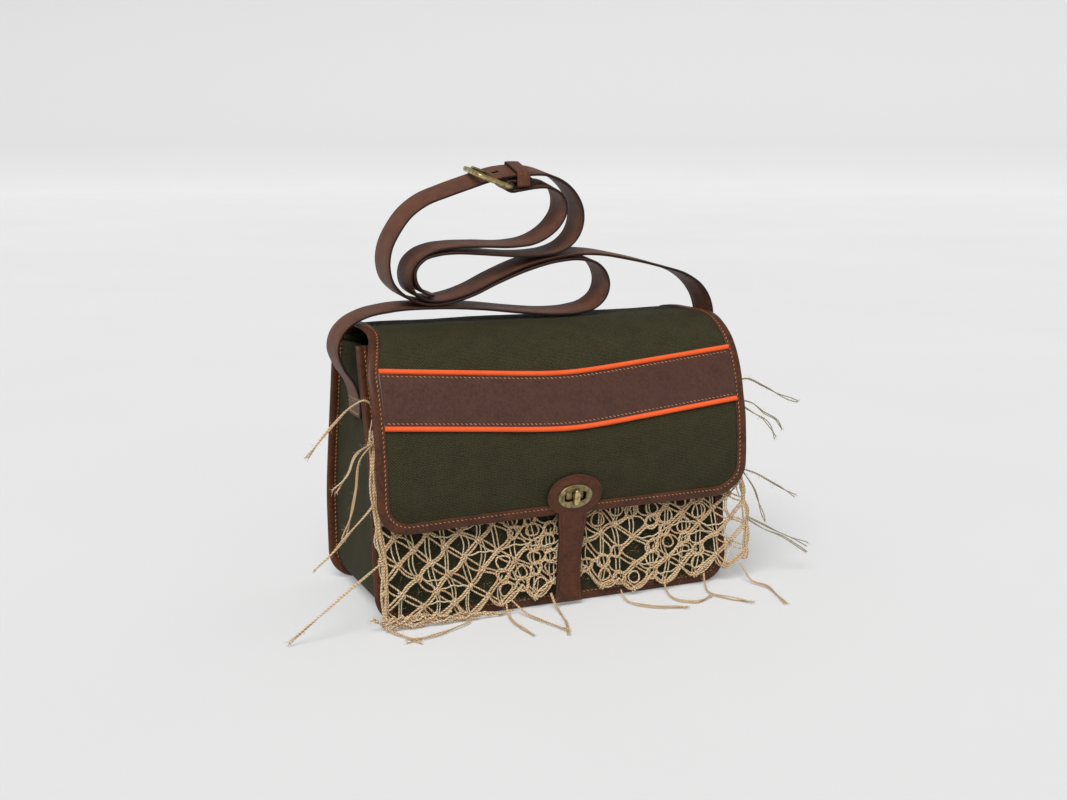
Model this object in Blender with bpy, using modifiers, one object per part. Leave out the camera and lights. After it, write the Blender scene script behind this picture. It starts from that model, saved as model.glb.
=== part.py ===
"""Hunting game bag: a cloth body and curved flap edged with leather, a pierced twine net hung over the front,
a keyhole closing strap with a turn lock, and a leather shoulder strap piled above the bag with its buckle.

Metres, +Z up. The origin is the middle of the flat base. The front faces -Y, and +X runs to the right of it.
"""
import math

import bmesh
import bpy
import numpy as np
from mathutils import Matrix, Vector

# Driving sizes
GAP = 0.0003                 # clearance kept between neighbouring pieces
BODY_WIDTH = 0.380
BODY_HEIGHT = 0.262
BODY_CORNER = 0.030          # radius of the panels' lower corners
CLOTH = 0.0020               # wall of the body and the flap
SEAM_TAPE = 0.0110           # width of the leather tape round each panel
FLANGE = 0.0090              # how far the taped seams stand out beyond the gusset at the sides
SEAM_DEPTH = 0.0050          # thickness of that tape, front to back
FLAP_WIDTH = 0.388
FLAP_TOP_WIDTH = 0.362       # narrower where the flap crosses the top of the bag
FLAP_RIGHT = 0.0022          # how much further out its right edge lies, along the front and the top
FLAP_LEAN = 0.0015           # how much higher its top is at the left end, and lower at the right end
FLAP_CORNER = 0.034
FLAP_TAPE = 0.0110           # width of the leather tape round the flap
FLAP_TAPE_DEPTH = 0.0034
TAPE_LIFT = (FLAP_TAPE_DEPTH - CLOTH) / 2   # the tape is level with the flap's inner face
FLAP_CROWN = 0.0030          # how far the middle of the flap stands forward
FLAP_DROOP = 0.0040          # how far its lower left corner hangs down
BAND_DEPTH = 0.0012
BAND_DIP = 0.0150            # how far the band's middle lies below its ends
BAND_BEND = 0.0300           # softness of the bend in the middle
PIPING_RADIUS = 0.0020
CLOSURE_DEPTH = 0.0024
LOCK_X = 0.0030
LOCK_HEIGHT = 0.1165
STRAP_WIDTH = 0.0380
STRAP_DEPTH = 0.0026
STRAND = 0.0030              # width of a knotted strand of the net
NET_DEPTH = 0.0026
NET_COLUMNS = 9
NET_ROWS = 7
TWINE_RADIUS = 0.0015

# Steps along the outlines
SIDE_STEPS = 8
CORNER_STEPS = 5
BASE_STEPS = 8
FLAP_SIDE_STEPS = 21

# Columns: height, depth of the seam (Y)
FRONT_SEAM = ((0.000, -0.079), (0.030, -0.075), (0.060, -0.071), (0.120, -0.067),
              (0.165, -0.060), (0.205, -0.047), (0.235, -0.038), (0.262, -0.030))
BACK_SEAM = ((0.000, 0.082), (0.030, 0.085), (0.060, 0.0865), (0.093, 0.0865),
             (0.130, 0.080), (0.167, 0.071), (0.220, 0.058), (0.262, 0.048))
# Columns: height, how far the middle of the front panel stands out from its seams
FRONT_BULGE = ((0.000, 0.000), (0.060, 0.009), (0.120, 0.012), (0.200, 0.014), (0.262, 0.002))
# Columns: depth (Y), height, of the middle of the flap's wall, from its lower edge up and over to the back
FLAP_PROFILE = ((-0.0960, 0.0960), (-0.0985, 0.1080), (-0.1010, 0.1250), (-0.1013, 0.1400), (-0.1003, 0.1600),
                (-0.0975, 0.1830), (-0.0935, 0.1980), (-0.0875, 0.2205), (-0.0800, 0.2370), (-0.0700, 0.2515),
                (-0.0580, 0.2620), (-0.0430, 0.2705), (-0.0260, 0.2745), (0.0000, 0.2755), (0.0220, 0.2752),
                (0.0405, 0.2712), (0.0534, 0.2620), (0.0563, 0.2500), (0.0592, 0.2380))
# Columns: height, depth (Y) of the net
NET_HANG = ((0.000, -0.0875), (0.030, -0.0866), (0.090, -0.0852), (0.125, -0.0850), (0.170, -0.0790),
            (0.214, -0.0591))
NET_LOW = 0.0060
NET_HIGH = 0.2140
NET_SHIFT = 0.0040           # the net hangs a little to the right
# Columns: depth (Y), height, of the closing strap up to the flap, which it follows from there
CLOSURE_RISE = ((-0.0906, 0.0045), (-0.0914, 0.0300), (-0.0950, 0.0600), (-0.0992, 0.0840))
# Columns: height, half width of the closing strap
CLOSURE_NECK = ((0.0045, 0.0148), (0.0200, 0.0134), (0.0480, 0.0124), (0.0760, 0.0132), (0.0880, 0.0150))
HEAD_WIDTH = 0.0580
HEAD_HEIGHT = 0.0420

# Columns: across (X), height, and over the strap's width how much higher and how much further left its back edge
# lies, all in mm. The strap that starts at the left side, lies on the flap, turns back over itself, rises round the
# left loop and goes through the buckle.
STRAP_LONG = (
    (-182.6, 190, 0, 0), (-182.8, 206, 0, 0), (-187, 222, 0, 0), (-198.2, 240, 0, 0), (-203, 256, 0, 0.5),
    (-199.4, 269.7, 1, 0.5), (-190.2, 280.2, 1.5, 0), (-175.5, 287.6, 2, 0), (-150, 292.6, 3, 0),
    (-104, 293.4, 3, 0.5), (-58, 290.2, 3, 0.5), (-15, 284.6, 3, 0.5), (22, 281, 3.5, 0.5), (48, 281.8, 4, 0.5),
    (65, 285.8, 4, 1), (77, 295.7, 3, 1.2), (80.6, 308, 2.5, 1.2), (76.6, 321.5, 3, 1), (67, 330.9, 4, 1),
    (50, 335.1, 4, 1.5), (24, 334.2, 4, 1), (-5, 327.8, 4, 1), (-40, 315.4, 3.5, 1), (-68, 303.6, 3, 1),
    (-88, 298.2, 3, 1), (-104, 296.4, 3, 1), (-121, 298.8, 3, 1.5), (-136.5, 306.6, 3, 2), (-148, 319, 3, 2),
    (-151.8, 333.5, 3, 2), (-150, 350, 3.5, 2), (-140.6, 368.8, 4.5, 2), (-129, 383.2, 5.5, 1.5),
    (-112, 395, 7.5, 0), (-90, 403.2, 9, -2), (-66, 410.8, 9.5, -3), (-47, 416.6, 9.5, -3),
    (-30, 420.2, 9.5, -3), (-8, 421.6, 8.6, -3), (14, 419.3, 5, -1), (32.2, 411.2, 4, 0), (44.7, 398.5, 3, 0),
    (51.2, 384, 3, 0), (51.2, 370, 3, 0), (46.5, 358.2, 3, 0), (36.5, 348.3, 3, 0.5), (22, 342.3, 3, 1),
    (4, 340.2, 2.5, 1), (-16, 340, 2.5, 1), (-40, 342, 2.5, 1), (-62, 344.2, 3, 1), (-84, 345.8, 3.5, 1.5),
    (-101, 344.8, 3.5, 1.5), (-117, 339.8, 3, 1.5), (-125.2, 330, 3, 1.5), (-124.2, 318.2, 3, 1.5),
    (-116, 308.6, 3, 1.5), (-102, 303.4, 3, 1.5))
# The strap that starts at the right side, crosses over the other, curls back and folds round the buckle's bar
STRAP_SHORT = (
    (182.6, 190, 0, 0), (182.8, 206, 0, 0), (187, 222, 0, 0), (195.6, 238, 0, 0), (200.8, 255, 0, 0.5),
    (201.6, 272, 0, 1.5), (196.6, 289, 0.5, 2.5), (186.6, 302.6, 1, 3), (172, 313, 1.5, 2), (140, 323.8, 2, 1),
    (100, 333.6, 2.5, 1), (70, 339, 3, 1), (50, 340.2, 3.6, 1), (24, 337.9, 3.4, 1), (-8, 331.3, 3.4, 1),
    (-40, 319.2, 3.5, 1), (-68, 307, 3, 1), (-86, 301.8, 3, 1), (-102, 299.8, 3, 1), (-117, 302.4, 3, 1.5),
    (-127.2, 310.4, 3, 1.5), (-130, 322.2, 3, 1.5), (-126.6, 334.4, 3, 1.5), (-116.6, 343.8, 3.5, 1.5),
    (-102, 349.2, 3.5, 1.5), (-84, 351.2, 3.5, 1.5), (-56, 351.2, 3.5, 1.5), (-22, 350.2, 3.5, 1.5),
    (-2, 352.8, 4, 1.5), (12.5, 359, 4, 1.5), (25.5, 369.6, 4, 1.5), (32.3, 381.4, 4, 1), (32.8, 392, 4.5, 0.5),
    (27.3, 402.4, 6, -1), (16.5, 407.8, 6.6, -2), (3.5, 408.4, 6.6, -2.6), (-6.5, 406.8, 5.8, -3),
    (-16, 404.8, 4.6, -3.2), (-24, 403.9, 4.2, -3.2), (-28, 405.6, 4.2, -3.2), (-29.4, 408.8, 4.2, -3.2),
    (-28, 412, 4.2, -3.2), (-25, 413.6, 4.6, -3.2), (-19, 415, 7.6, -3.2), (-10, 415.2, 8.4, -3),
    (0, 415.7, 8.8, -3))

# Buckle, in its own axes: along the bar, and from the bar towards the free end
BUCKLE_BAR = (-25.0, 408.8)  # middle of the bar, X and Z in mm
BUCKLE_TIP = (4.2, -3.2)     # the bar's own lift and shift over the strap's width, mm
BUCKLE_RISE = 19.0           # degrees that the frame stands up towards the left
BUCKLE_WIDTH = 0.0480
BUCKLE_LENGTH = 0.0370
BUCKLE_CORNER = 0.0060
BUCKLE_WIRE = 0.0025
PRONG_WIRE = 0.0014
PRONG_SLOT = (0.0060, 0.0180, 0.0170)   # cut through the fold round the bar: along the bar, on, deep
PRONG_HOLE = (0.0060, 0.0150, 0.0080)   # cut through the strap where the prong comes up
PRONG_HOLE_AT = 0.0155
KEEPER_X = -12.0             # mm
KEEPER_RUN = 0.0140
KEEPER_WALL = 0.0016
KEEPER_CORNER = 0.0014
KEEPER_TIP = (8.8, -3.0)     # its own lift and shift over the strap's width, mm
KEEPER_LOW = 411.9           # mm, the two layers that the keeper goes round
KEEPER_HIGH = 424.4

# Turn lock: half length and half width of each oval, then its depth
EYELET = (0.0180, 0.0125, 0.0012)
EYELET_HOLE = (0.0112, 0.0050)
TURN_BASE = (0.0110, 0.0055, 0.0012)
KNOB = (0.0083, 0.0032, 0.0046)
POST_RADIUS = 0.0022
WINDOW = (0.0250, 0.0130, 0.0200)   # hole in the closing strap: across, up, and the cutter's depth

# Loose twine ends. Columns: column and row of the net's knot that each leaves, then its points in mm
TWINE_ENDS = (
    ((-8, 13), ((-186, -77, 212), (-210, -84, 216), (-230, -88, 200), (-254, -90, 174))),
    ((-9, 12), ((-204, -86, 176), (-217, -89, 156), (-230, -90, 140))),
    ((-9, 10), ((-204, -89, 142), (-213, -91, 118), (-222, -91, 95))),
    ((-9, 8), ((-200, -89, 114), (-224, -91, 92), (-251, -92, 69))),
    ((-9, 4), ((-204, -89, 56), (-232, -92, 34), (-276, -94, 4))),
    ((8, 13), ((194, -77, 209), (214, -81, 209), (240, -84, 194), (266, -86, 184))),
    ((9, 12), ((212, -84, 182), (232, -86, 171), (248, -86, 157))),
    ((9, 8), ((212, -88, 118), (237, -89, 101), (265, -89, 84))),
    ((9, 4), ((210, -88, 62), (240, -90, 51), (281, -92, 30))),
    ((8, 1), ((192, -95, 10), (204, -106, 3), (211, -122, 3), (201, -174, 3))),
    ((-5, 0), ((-112, -102, 3), (-141, -121, 3), (-176, -129, 3))),
    ((-3, 0), ((-50, -108, 3), (-37, -136, 3), (-28, -160, 3))),
    ((-1, 0), ((-18, -100, 4), (-20, -130, 3), (-32, -168, 3))),
    ((3, 0), ((62, -108, 3), (76, -132, 3), (107, -147, 3))),
    ((7, 0), ((150, -108, 3), (154, -134, 3), (173, -159, 3))))


def smooth(rows, at):
    """Values at the places `at` on a smooth curve through the rows, whose first column is the place."""
    rows = np.asarray(rows, float)
    where, value = rows[:, 0], rows[:, 1:]
    step = np.diff(where)[:, None]
    slope = np.diff(value, axis=0) / step
    tangent = np.empty_like(value)
    tangent[0], tangent[-1] = slope[0], slope[-1]
    tangent[1:-1] = (slope[:-1] * step[1:] + slope[1:] * step[:-1]) / (step[1:] + step[:-1])
    at = np.clip(np.asarray(at, float), where[0], where[-1])
    span = np.clip(np.searchsorted(where, at, side="right") - 1, 0, len(where) - 2)
    f = ((at - where[span])[..., None]) / step[span]
    return ((2 * f**3 - 3 * f**2 + 1) * value[span] + (f**3 - 2 * f**2 + f) * step[span] * tangent[span]
            + (3 * f**2 - 2 * f**3) * value[span + 1] + (f**3 - f**2) * step[span] * tangent[span + 1])


def with_run(points):
    """The points with their distance along the chain in front, as smooth() takes them."""
    points = np.asarray(points, float)
    run = np.concatenate([[0.0], np.cumsum(np.linalg.norm(np.diff(points, axis=0), axis=1))])
    return np.column_stack([run, points])


FLAP_RUN = with_run(FLAP_PROFILE)
FLAP_LENGTH = FLAP_RUN[-1, 0]


def flap_run_at(height):
    """Distance up the flap's face from its lower edge to a height, on the front of the bag."""
    front = FLAP_RUN[:14]
    return np.interp(height, front[:, 2], front[:, 0])


def part_way(run, start, end):
    """Rises softly from 0 to 1 between two distances from the flap's lower edge."""
    f = np.clip((run - start) / (end - start), 0.0, 1.0)
    return f * f * (3 - 2 * f)


def inward(x, run):
    """How far the flap's edge on that side moves to the right: it narrows at the top left and at the back right."""
    narrow = (FLAP_WIDTH - FLAP_TOP_WIDTH) / 2
    left = narrow * part_way(run, flap_run_at(0.235), flap_run_at(0.272))
    right = FLAP_RIGHT - (narrow + FLAP_RIGHT) * part_way(run, flap_run_at(0.2745), FLAP_RUN[15, 0])
    return np.where(x < 0, left, right)


def flap_point(x, run, lift):
    """Point on the flap at x and a distance from the lower edge, `lift` outside the middle of its wall."""
    here = smooth(FLAP_RUN, run)
    reach = 0.0005
    ahead = smooth(FLAP_RUN, run + reach) - smooth(FLAP_RUN, run - reach)
    ahead = ahead / np.linalg.norm(ahead, axis=-1, keepdims=True)
    out_y, out_z = -ahead[..., 1], ahead[..., 0]
    front = np.clip(run / flap_run_at(0.25), 0.0, 1.0)
    crown = FLAP_CROWN * (1 - (x / (FLAP_WIDTH / 2))**2) * np.sin(math.pi * front)
    droop = FLAP_DROOP * np.clip(-x / (FLAP_WIDTH / 2), 0, 1)**2 * (1 - front)**2
    over = part_way(run, flap_run_at(0.245), flap_run_at(0.272)) - part_way(run, FLAP_RUN[13, 0], FLAP_RUN[15, 0])
    droop = droop + FLAP_LEAN * x / (FLAP_WIDTH / 2) * over
    return np.stack([x + 0.0 * run, here[..., 0] + out_y * (lift + crown),
                     here[..., 1] + out_z * (lift + crown) - droop], axis=-1)


def u_steps(side_steps):
    """Steps along the whole of a U-shaped outline."""
    return 2 * side_steps + 2 * CORNER_STEPS + BASE_STEPS


def u_route(t, half, low, high, radius, side_steps):
    """Place on a U-shaped outline: t runs from the top left, round the lower corners, to the top right."""
    middle = u_steps(side_steps) / 2
    step = t * 2 * middle
    side = np.where(step < middle, -1.0, 1.0)
    step = middle - np.abs(step - middle)
    turn = np.clip((step - side_steps) / CORNER_STEPS, 0, 1) * math.pi / 2
    base = np.clip((step - side_steps - CORNER_STEPS) / (BASE_STEPS / 2), 0, 1)
    across = (half - radius + radius * np.cos(turn)) - (half - radius) * base
    rise = np.clip(1 - step / side_steps, 0, 1)
    up = low + radius - radius * np.sin(turn) + (high - low - radius) * rise
    return side * across, up


def panel_route(u, v, half, low, high, radius, rows):
    """Place inside the same outline: v runs from its lower edge, through the corner's rows, up to its top."""
    row = v * rows
    turn = np.clip(row / CORNER_STEPS, 0, 1) * math.pi / 2
    rise = np.clip((row - CORNER_STEPS) / (rows - CORNER_STEPS), 0, 1)
    half_here = half - radius + radius * np.sin(turn)
    up = low + radius - radius * np.cos(turn) + (high - low - radius) * rise
    return (2 * u - 1) * half_here, up


def linear(value):
    """Linear value of one sRGB channel."""
    return value / 12.92 if value <= 0.04045 else ((value + 0.055) / 1.055) ** 2.4


def look(name, colour, roughness, metallic=0.0):
    """Principled material with an sRGB hex colour."""
    material = bpy.data.materials.new(name)
    material.use_nodes = True
    shader = material.node_tree.nodes["Principled BSDF"]
    channels = [linear(int(colour[i:i + 2], 16) / 255) for i in (1, 3, 5)]
    shader.inputs["Base Color"].default_value = (*channels, 1.0)
    shader.inputs["Roughness"].default_value = roughness
    shader.inputs["Metallic"].default_value = metallic
    material.diffuse_color = (*channels, 1.0)
    return material


def keep(name, data, material, group):
    """Object with its material, in its collection."""
    thing = bpy.data.objects.new(name, data)
    if material is not None:
        data.materials.append(material)
    group.objects.link(thing)
    return thing


def hide_cutter(thing):
    """Marks a cutter or a joining piece, which isn't part of the bag."""
    thing.hide_render = True
    thing.display_type = "WIRE"


def wall(thing, thickness):
    """Gives an open surface its thickness, half to each side."""
    solidify = thing.modifiers.new("wall", "SOLIDIFY")
    solidify.thickness = thickness
    solidify.offset = 0.0
    solidify.use_even_offset = True
    return thing


def sheet(name, faces, surface, thickness, material, group, closed=False):
    """Grid of faces laid on surface(u, v), with u and v from 0 to 1, then given its thickness."""
    grid = bmesh.new()
    bmesh.ops.create_grid(grid, x_segments=faces[0], y_segments=faces[1], size=0.5)
    mesh = bpy.data.meshes.new(name)
    grid.to_mesh(mesh)
    grid.free()
    flat = np.empty(len(mesh.vertices) * 3, np.float32)
    mesh.vertices.foreach_get("co", flat)
    u, v = flat[0::3].astype(float) + 0.5, flat[1::3].astype(float) + 0.5
    mesh.vertices.foreach_set("co", surface(u, v).astype(np.float32).ravel())
    if closed:
        loop = bmesh.new()
        loop.from_mesh(mesh)
        bmesh.ops.remove_doubles(loop, verts=loop.verts, dist=1e-5)
        loop.to_mesh(mesh)
        loop.free()
    mesh.update()
    return wall(keep(name, mesh, material, group), thickness)


def wire(name, points, radius, material, group, sides=1, closed=False):
    """Round wire through the points: a poly curve with a bevel and filled caps."""
    curve = bpy.data.curves.new(name, "CURVE")
    curve.dimensions = "3D"
    curve.bevel_depth = radius
    curve.bevel_resolution = sides
    curve.use_fill_caps = not closed
    spline = curve.splines.new("POLY")
    spline.points.add(len(points) - 1)
    for point, place in zip(spline.points, points):
        point.co = (*place, 1.0)
    spline.use_cyclic_u = closed
    return keep(name, curve, material, group)


def as_mesh(thing, material, group):
    """The same piece as a mesh with its caps welded, so that a Boolean can use it."""
    depsgraph = bpy.context.evaluated_depsgraph_get()
    mesh = bpy.data.meshes.new_from_object(thing.evaluated_get(depsgraph))
    shape = bmesh.new()
    shape.from_mesh(mesh)
    bmesh.ops.remove_doubles(shape, verts=shape.verts, dist=1e-6)
    bmesh.ops.recalc_face_normals(shape, faces=shape.faces)
    shape.to_mesh(mesh)
    shape.free()
    mesh.materials.clear()
    name, matrix = thing.name, thing.matrix_world.copy()
    bpy.data.objects.remove(thing)
    solid = keep(name, mesh, material, group)
    solid.matrix_world = matrix
    return solid


def block(name, size, matrix, group):
    """Box of a size at a place, used as a cutter."""
    shape = bmesh.new()
    bmesh.ops.create_cube(shape, size=1.0)
    bmesh.ops.scale(shape, vec=Vector(size), verts=shape.verts)
    mesh = bpy.data.meshes.new(name)
    shape.to_mesh(mesh)
    shape.free()
    thing = keep(name, mesh, None, group)
    thing.matrix_world = matrix
    hide_cutter(thing)
    return thing


def boolean(thing, other, operation, solver="EXACT"):
    """Cuts the other solid from a piece, or joins it on."""
    change = thing.modifiers.new(other.name, "BOOLEAN")
    change.operation = operation
    change.object = other
    change.solver = solver


def oval(half_long, half_short, steps):
    """Points round a stadium: two half circles joined by straight runs along X."""
    straight = half_long - half_short
    turn = np.arange(steps) * 2 * math.pi / steps + math.pi / steps
    x = half_short * np.cos(turn) + np.where(np.cos(turn) > 0, straight, -straight)
    return np.column_stack([x, half_short * np.sin(turn)])


def plate(name, outlines, depth, matrix, material, group):
    """Flat plate with the given outlines, the first outside and the others as holes, centred in its depth."""
    curve = bpy.data.curves.new(name, "CURVE")
    curve.dimensions = "2D"
    curve.fill_mode = "BOTH"
    curve.extrude = depth / 2
    for outline in outlines:
        spline = curve.splines.new("POLY")
        spline.points.add(len(outline) - 1)
        for point, (x, y) in zip(spline.points, outline):
            point.co = (x, y, 0.0, 1.0)
        spline.use_cyclic_u = True
    thing = keep(name, curve, material, group)
    thing.matrix_world = matrix
    return thing


def seam_depth(seam, up):
    """Depth of a seam at a height."""
    return smooth(seam, up)[..., 0]


def front_depth(x, up):
    """Depth of the front panel: its seams' depth and the bulge of its middle."""
    bulge = smooth(FRONT_BULGE, up)[..., 0] * (1 - np.abs(x / (BODY_WIDTH / 2))**2.5)
    return seam_depth(FRONT_SEAM, up) - bulge


def body(green, edge, group):
    """Front and back panels, the gusset round the sides and base, and a leather tape on each seam."""
    half = BODY_WIDTH / 2
    tape_low = GAP
    inside = SEAM_TAPE + 3 * GAP

    def front(u, v):
        x, up = panel_route(u, v, half - inside, tape_low + inside, BODY_HEIGHT,
                            BODY_CORNER - inside, CORNER_STEPS + 8)
        return np.column_stack([x, front_depth(x, up), up])

    def back(u, v):
        x, up = panel_route(u, v, half - inside, tape_low + inside, BODY_HEIGHT,
                            BODY_CORNER - inside, CORNER_STEPS + 7)
        return np.column_stack([x, seam_depth(BACK_SEAM, up), up])

    def gusset(u, v):
        x, up = u_route(v, half - FLANGE - CLOTH / 2, CLOTH / 2, BODY_HEIGHT - 0.006,
                        BODY_CORNER - CLOTH / 2, SIDE_STEPS)
        inset = SEAM_DEPTH / 2 + 2 * GAP     # the tape leans with its seam, so it is deeper along Y
        near = seam_depth(FRONT_SEAM, up) + inset
        far = seam_depth(BACK_SEAM, up) - inset
        return np.column_stack([x, near + (far - near) * u, up])

    def tape(seam):
        def surface(u, v):
            inset = SEAM_TAPE * u
            x, up = u_route(v, half - inset, tape_low + inset, BODY_HEIGHT, BODY_CORNER - inset, SIDE_STEPS)
            return np.column_stack([x, seam_depth(seam, up), up])
        return surface

    sheet("front_panel", (10, CORNER_STEPS + 8), front, CLOTH, green, group)
    sheet("back_panel", (8, CORNER_STEPS + 7), back, CLOTH, green, group)
    sheet("gusset", (3, u_steps(SIDE_STEPS)), gusset, CLOTH, green, group)
    sheet("front_binding", (1, u_steps(SIDE_STEPS)), tape(FRONT_SEAM), SEAM_DEPTH, edge, group)
    sheet("back_binding", (1, u_steps(SIDE_STEPS)), tape(BACK_SEAM), SEAM_DEPTH, edge, group)


def flap(green, edge, group):
    """Curved flap and the leather tape that wraps its two sides and its lower edge."""
    half = FLAP_WIDTH / 2
    rows = CORNER_STEPS + FLAP_SIDE_STEPS

    def cloth(u, v):
        inset = FLAP_TAPE + GAP
        x, run = panel_route(u, v, half - inset, inset, FLAP_LENGTH, FLAP_CORNER - inset, rows)
        x = x + np.abs(x) / (half - inset) * inward(x, run)
        return flap_point(x, run, 0.0)

    def tape(u, v):
        inset = FLAP_TAPE * u
        x, run = u_route(v, half - inset, inset, FLAP_LENGTH, FLAP_CORNER - inset, FLAP_SIDE_STEPS)
        x = x + inward(x, run)
        return flap_point(x, run, TAPE_LIFT)

    sheet("flap", (14, rows), cloth, CLOTH, green, group)
    sheet("flap_binding", (1, u_steps(FLAP_SIDE_STEPS)), tape, FLAP_TAPE_DEPTH, edge, group)


def band_line(x, height):
    """Distance up the flap to one edge of the band: a soft V whose middle lies lower than its ends."""
    end = BODY_WIDTH / 2
    rise = (np.hypot(x, BAND_BEND) - BAND_BEND) / (math.hypot(end, BAND_BEND) - BAND_BEND)
    return flap_run_at(height) + BAND_DIP * rise


def flap_trim(band_look, piping_look, group):
    """The wide leather band across the flap, with a round piping along each edge of it."""
    low, high = 0.1810, 0.2310
    half = FLAP_WIDTH / 2 - FLAP_TAPE - 3 * GAP
    beside = PIPING_RADIUS + GAP
    over = CLOTH / 2 + GAP + 0.0001

    def band(u, v):
        x = (2 * u - 1) * half
        bottom, top = band_line(x, low) + beside, band_line(x, high) - beside
        run = bottom + (top - bottom) * v
        return flap_point(x + np.abs(x) / half * inward(x, run), run, over + BAND_DEPTH / 2)

    sheet("flap_band", (20, 4), band, BAND_DEPTH, band_look, group)
    for name, height in (("piping_lower", low), ("piping_upper", high)):
        x = np.linspace(-half, half, 23)
        run = band_line(x, height)
        path = flap_point(x + np.abs(x) / half * inward(x, run), run, over + PIPING_RADIUS)
        wire(name, path, PIPING_RADIUS, piping_look, group)


def net_depth(up):
    """Depth of the net at a height."""
    return smooth(NET_HANG, up)[..., 0]


def net(twine, group, tools):
    """Knotted net cut through in diamonds, with its loose ends joined on."""
    half_wide = (BODY_WIDTH + 0.007) / 2 / NET_COLUMNS
    half_high = (NET_HIGH - NET_LOW) / (2 * NET_ROWS)
    cells = 2 * (NET_COLUMNS + NET_ROWS)
    lattice = bmesh.new()
    bmesh.ops.create_grid(lattice, x_segments=cells, y_segments=cells, size=cells / 2)
    for vert in lattice.verts:
        i, j = round(vert.co.x), round(vert.co.y) + NET_ROWS
        vert.co = Vector(((i - j + NET_ROWS) * half_wide, 0.0, (i + j) * half_high))
    outside = []
    for face in lattice.faces:
        middle = face.calc_center_median()
        inside_x = abs(middle.x) < NET_COLUMNS * half_wide
        if not (inside_x and 0 < middle.z < 2 * NET_ROWS * half_high):
            outside.append(face)
    bmesh.ops.delete(lattice, geom=outside, context="FACES")
    openings = list(lattice.faces)
    bmesh.ops.inset_individual(lattice, faces=openings, thickness=STRAND / 2, use_even_offset=True)
    bmesh.ops.delete(lattice, geom=openings, context="FACES")
    for vert in lattice.verts:
        up = vert.co.z + NET_LOW
        vert.co = Vector((vert.co.x + NET_SHIFT, float(net_depth(up)), up))
    mesh = bpy.data.meshes.new("net")
    lattice.to_mesh(mesh)
    lattice.free()
    mesh.update()
    solid = wall(keep("net", mesh, twine, group), NET_DEPTH)
    for number, ((column, row), route) in enumerate(TWINE_ENDS):
        up = NET_LOW + row * half_high
        start = (column * half_wide + NET_SHIFT, float(net_depth(up)), up)
        points = with_run([start] + [np.array(place) / 1000 for place in route])
        path = smooth(points, np.linspace(0, points[-1, 0], 7))
        end = as_mesh(wire(f"twine_end_{number + 1}", path, TWINE_RADIUS, None, tools), None, tools)
        hide_cutter(end)
        boolean(solid, end, "UNION", "MANIFOLD")


def lock_frame():
    """Axes of the turn lock: X to the right, Y up the flap, Z out of it, with the origin on the flap's middle."""
    run = flap_run_at(LOCK_HEIGHT)
    here, above = (Vector(flap_point(np.float64(LOCK_X), run + step, 0.0)) for step in (0.0, 0.002))
    up = (above - here).normalized()
    right = Vector((1.0, 0.0, 0.0))
    out = right.cross(up).normalized()
    return Matrix.LocRotScale(here, Matrix((right, up, out)).transposed(), None)


def closure(leather, brass, group, tools):
    """Keyhole closing strap, the oval eyelet plate on its head, and the turn lock that comes through both."""
    frame = lock_frame()
    lift = TAPE_LIFT + FLAP_TAPE_DEPTH / 2 + GAP + CLOSURE_DEPTH / 2
    head_low = LOCK_HEIGHT - HEAD_HEIGHT / 2 + 0.003
    head_top = LOCK_HEIGHT + HEAD_HEIGHT / 2
    rise = np.array(CLOSURE_RISE)
    runs = np.linspace(flap_run_at(0.0985), flap_run_at(head_top - 0.0008), 9)
    over_flap = flap_point(np.full(len(runs), LOCK_X), runs, lift)[:, 1:]
    spine = with_run(np.vstack([rise, over_flap]))

    def half_width(up):
        neck = smooth(CLOSURE_NECK, up)[..., 0]
        f = np.clip((up - LOCK_HEIGHT) / (HEAD_HEIGHT / 2), -1, 1)
        head = HEAD_WIDTH / 2 * np.sqrt(1 - f * f)
        return np.where(up > head_low, np.maximum(head, np.where(up < LOCK_HEIGHT, neck, 0)), neck)

    def surface(u, v):
        crowd = 1 - (1 - v) ** 1.5
        place = smooth(spine, crowd * spine[-1, 0])
        x = LOCK_X + (2 * u - 1) * half_width(place[:, 1])
        return np.column_stack([x, place])

    strap = sheet("closure_strap", (4, 24), surface, CLOSURE_DEPTH, leather, group)
    window = block("closure_window", WINDOW, frame, tools)
    boolean(strap, window, "DIFFERENCE")

    def at(height):
        return frame @ Matrix.Translation((0.0, 0.0, height))

    top = lift + CLOSURE_DEPTH / 2
    plate("eyelet_plate", (oval(*EYELET[:2], 20), oval(*EYELET_HOLE, 12)), EYELET[2],
          at(top + GAP + EYELET[2] / 2), brass, group)
    base_low = CLOTH / 2 + GAP
    plate("turn_base", (oval(*TURN_BASE[:2], 12),), TURN_BASE[2], at(base_low + TURN_BASE[2] / 2), brass, group)

    knob_low = top + EYELET[2] + 2 * GAP
    post_low = base_low + TURN_BASE[2] + GAP
    post_top = knob_low + KNOB[2] / 2
    shape = bmesh.new()
    bmesh.ops.create_cone(shape, cap_ends=True, segments=12, radius1=POST_RADIUS, radius2=POST_RADIUS,
                          depth=post_top - post_low)
    bmesh.ops.translate(shape, vec=(0, 0, (post_top + post_low) / 2), verts=shape.verts)
    mesh = bpy.data.meshes.new("turn_button")
    shape.to_mesh(mesh)
    shape.free()
    button = keep("turn_button", mesh, brass, group)
    button.matrix_world = frame
    outline = oval(*KNOB[:2], 12)[:, ::-1]
    knob = as_mesh(plate("turn_knob", (outline,), KNOB[2], at(knob_low + KNOB[2] / 2), None, tools), None, tools)
    hide_cutter(knob)
    boolean(button, knob, "UNION")


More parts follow.
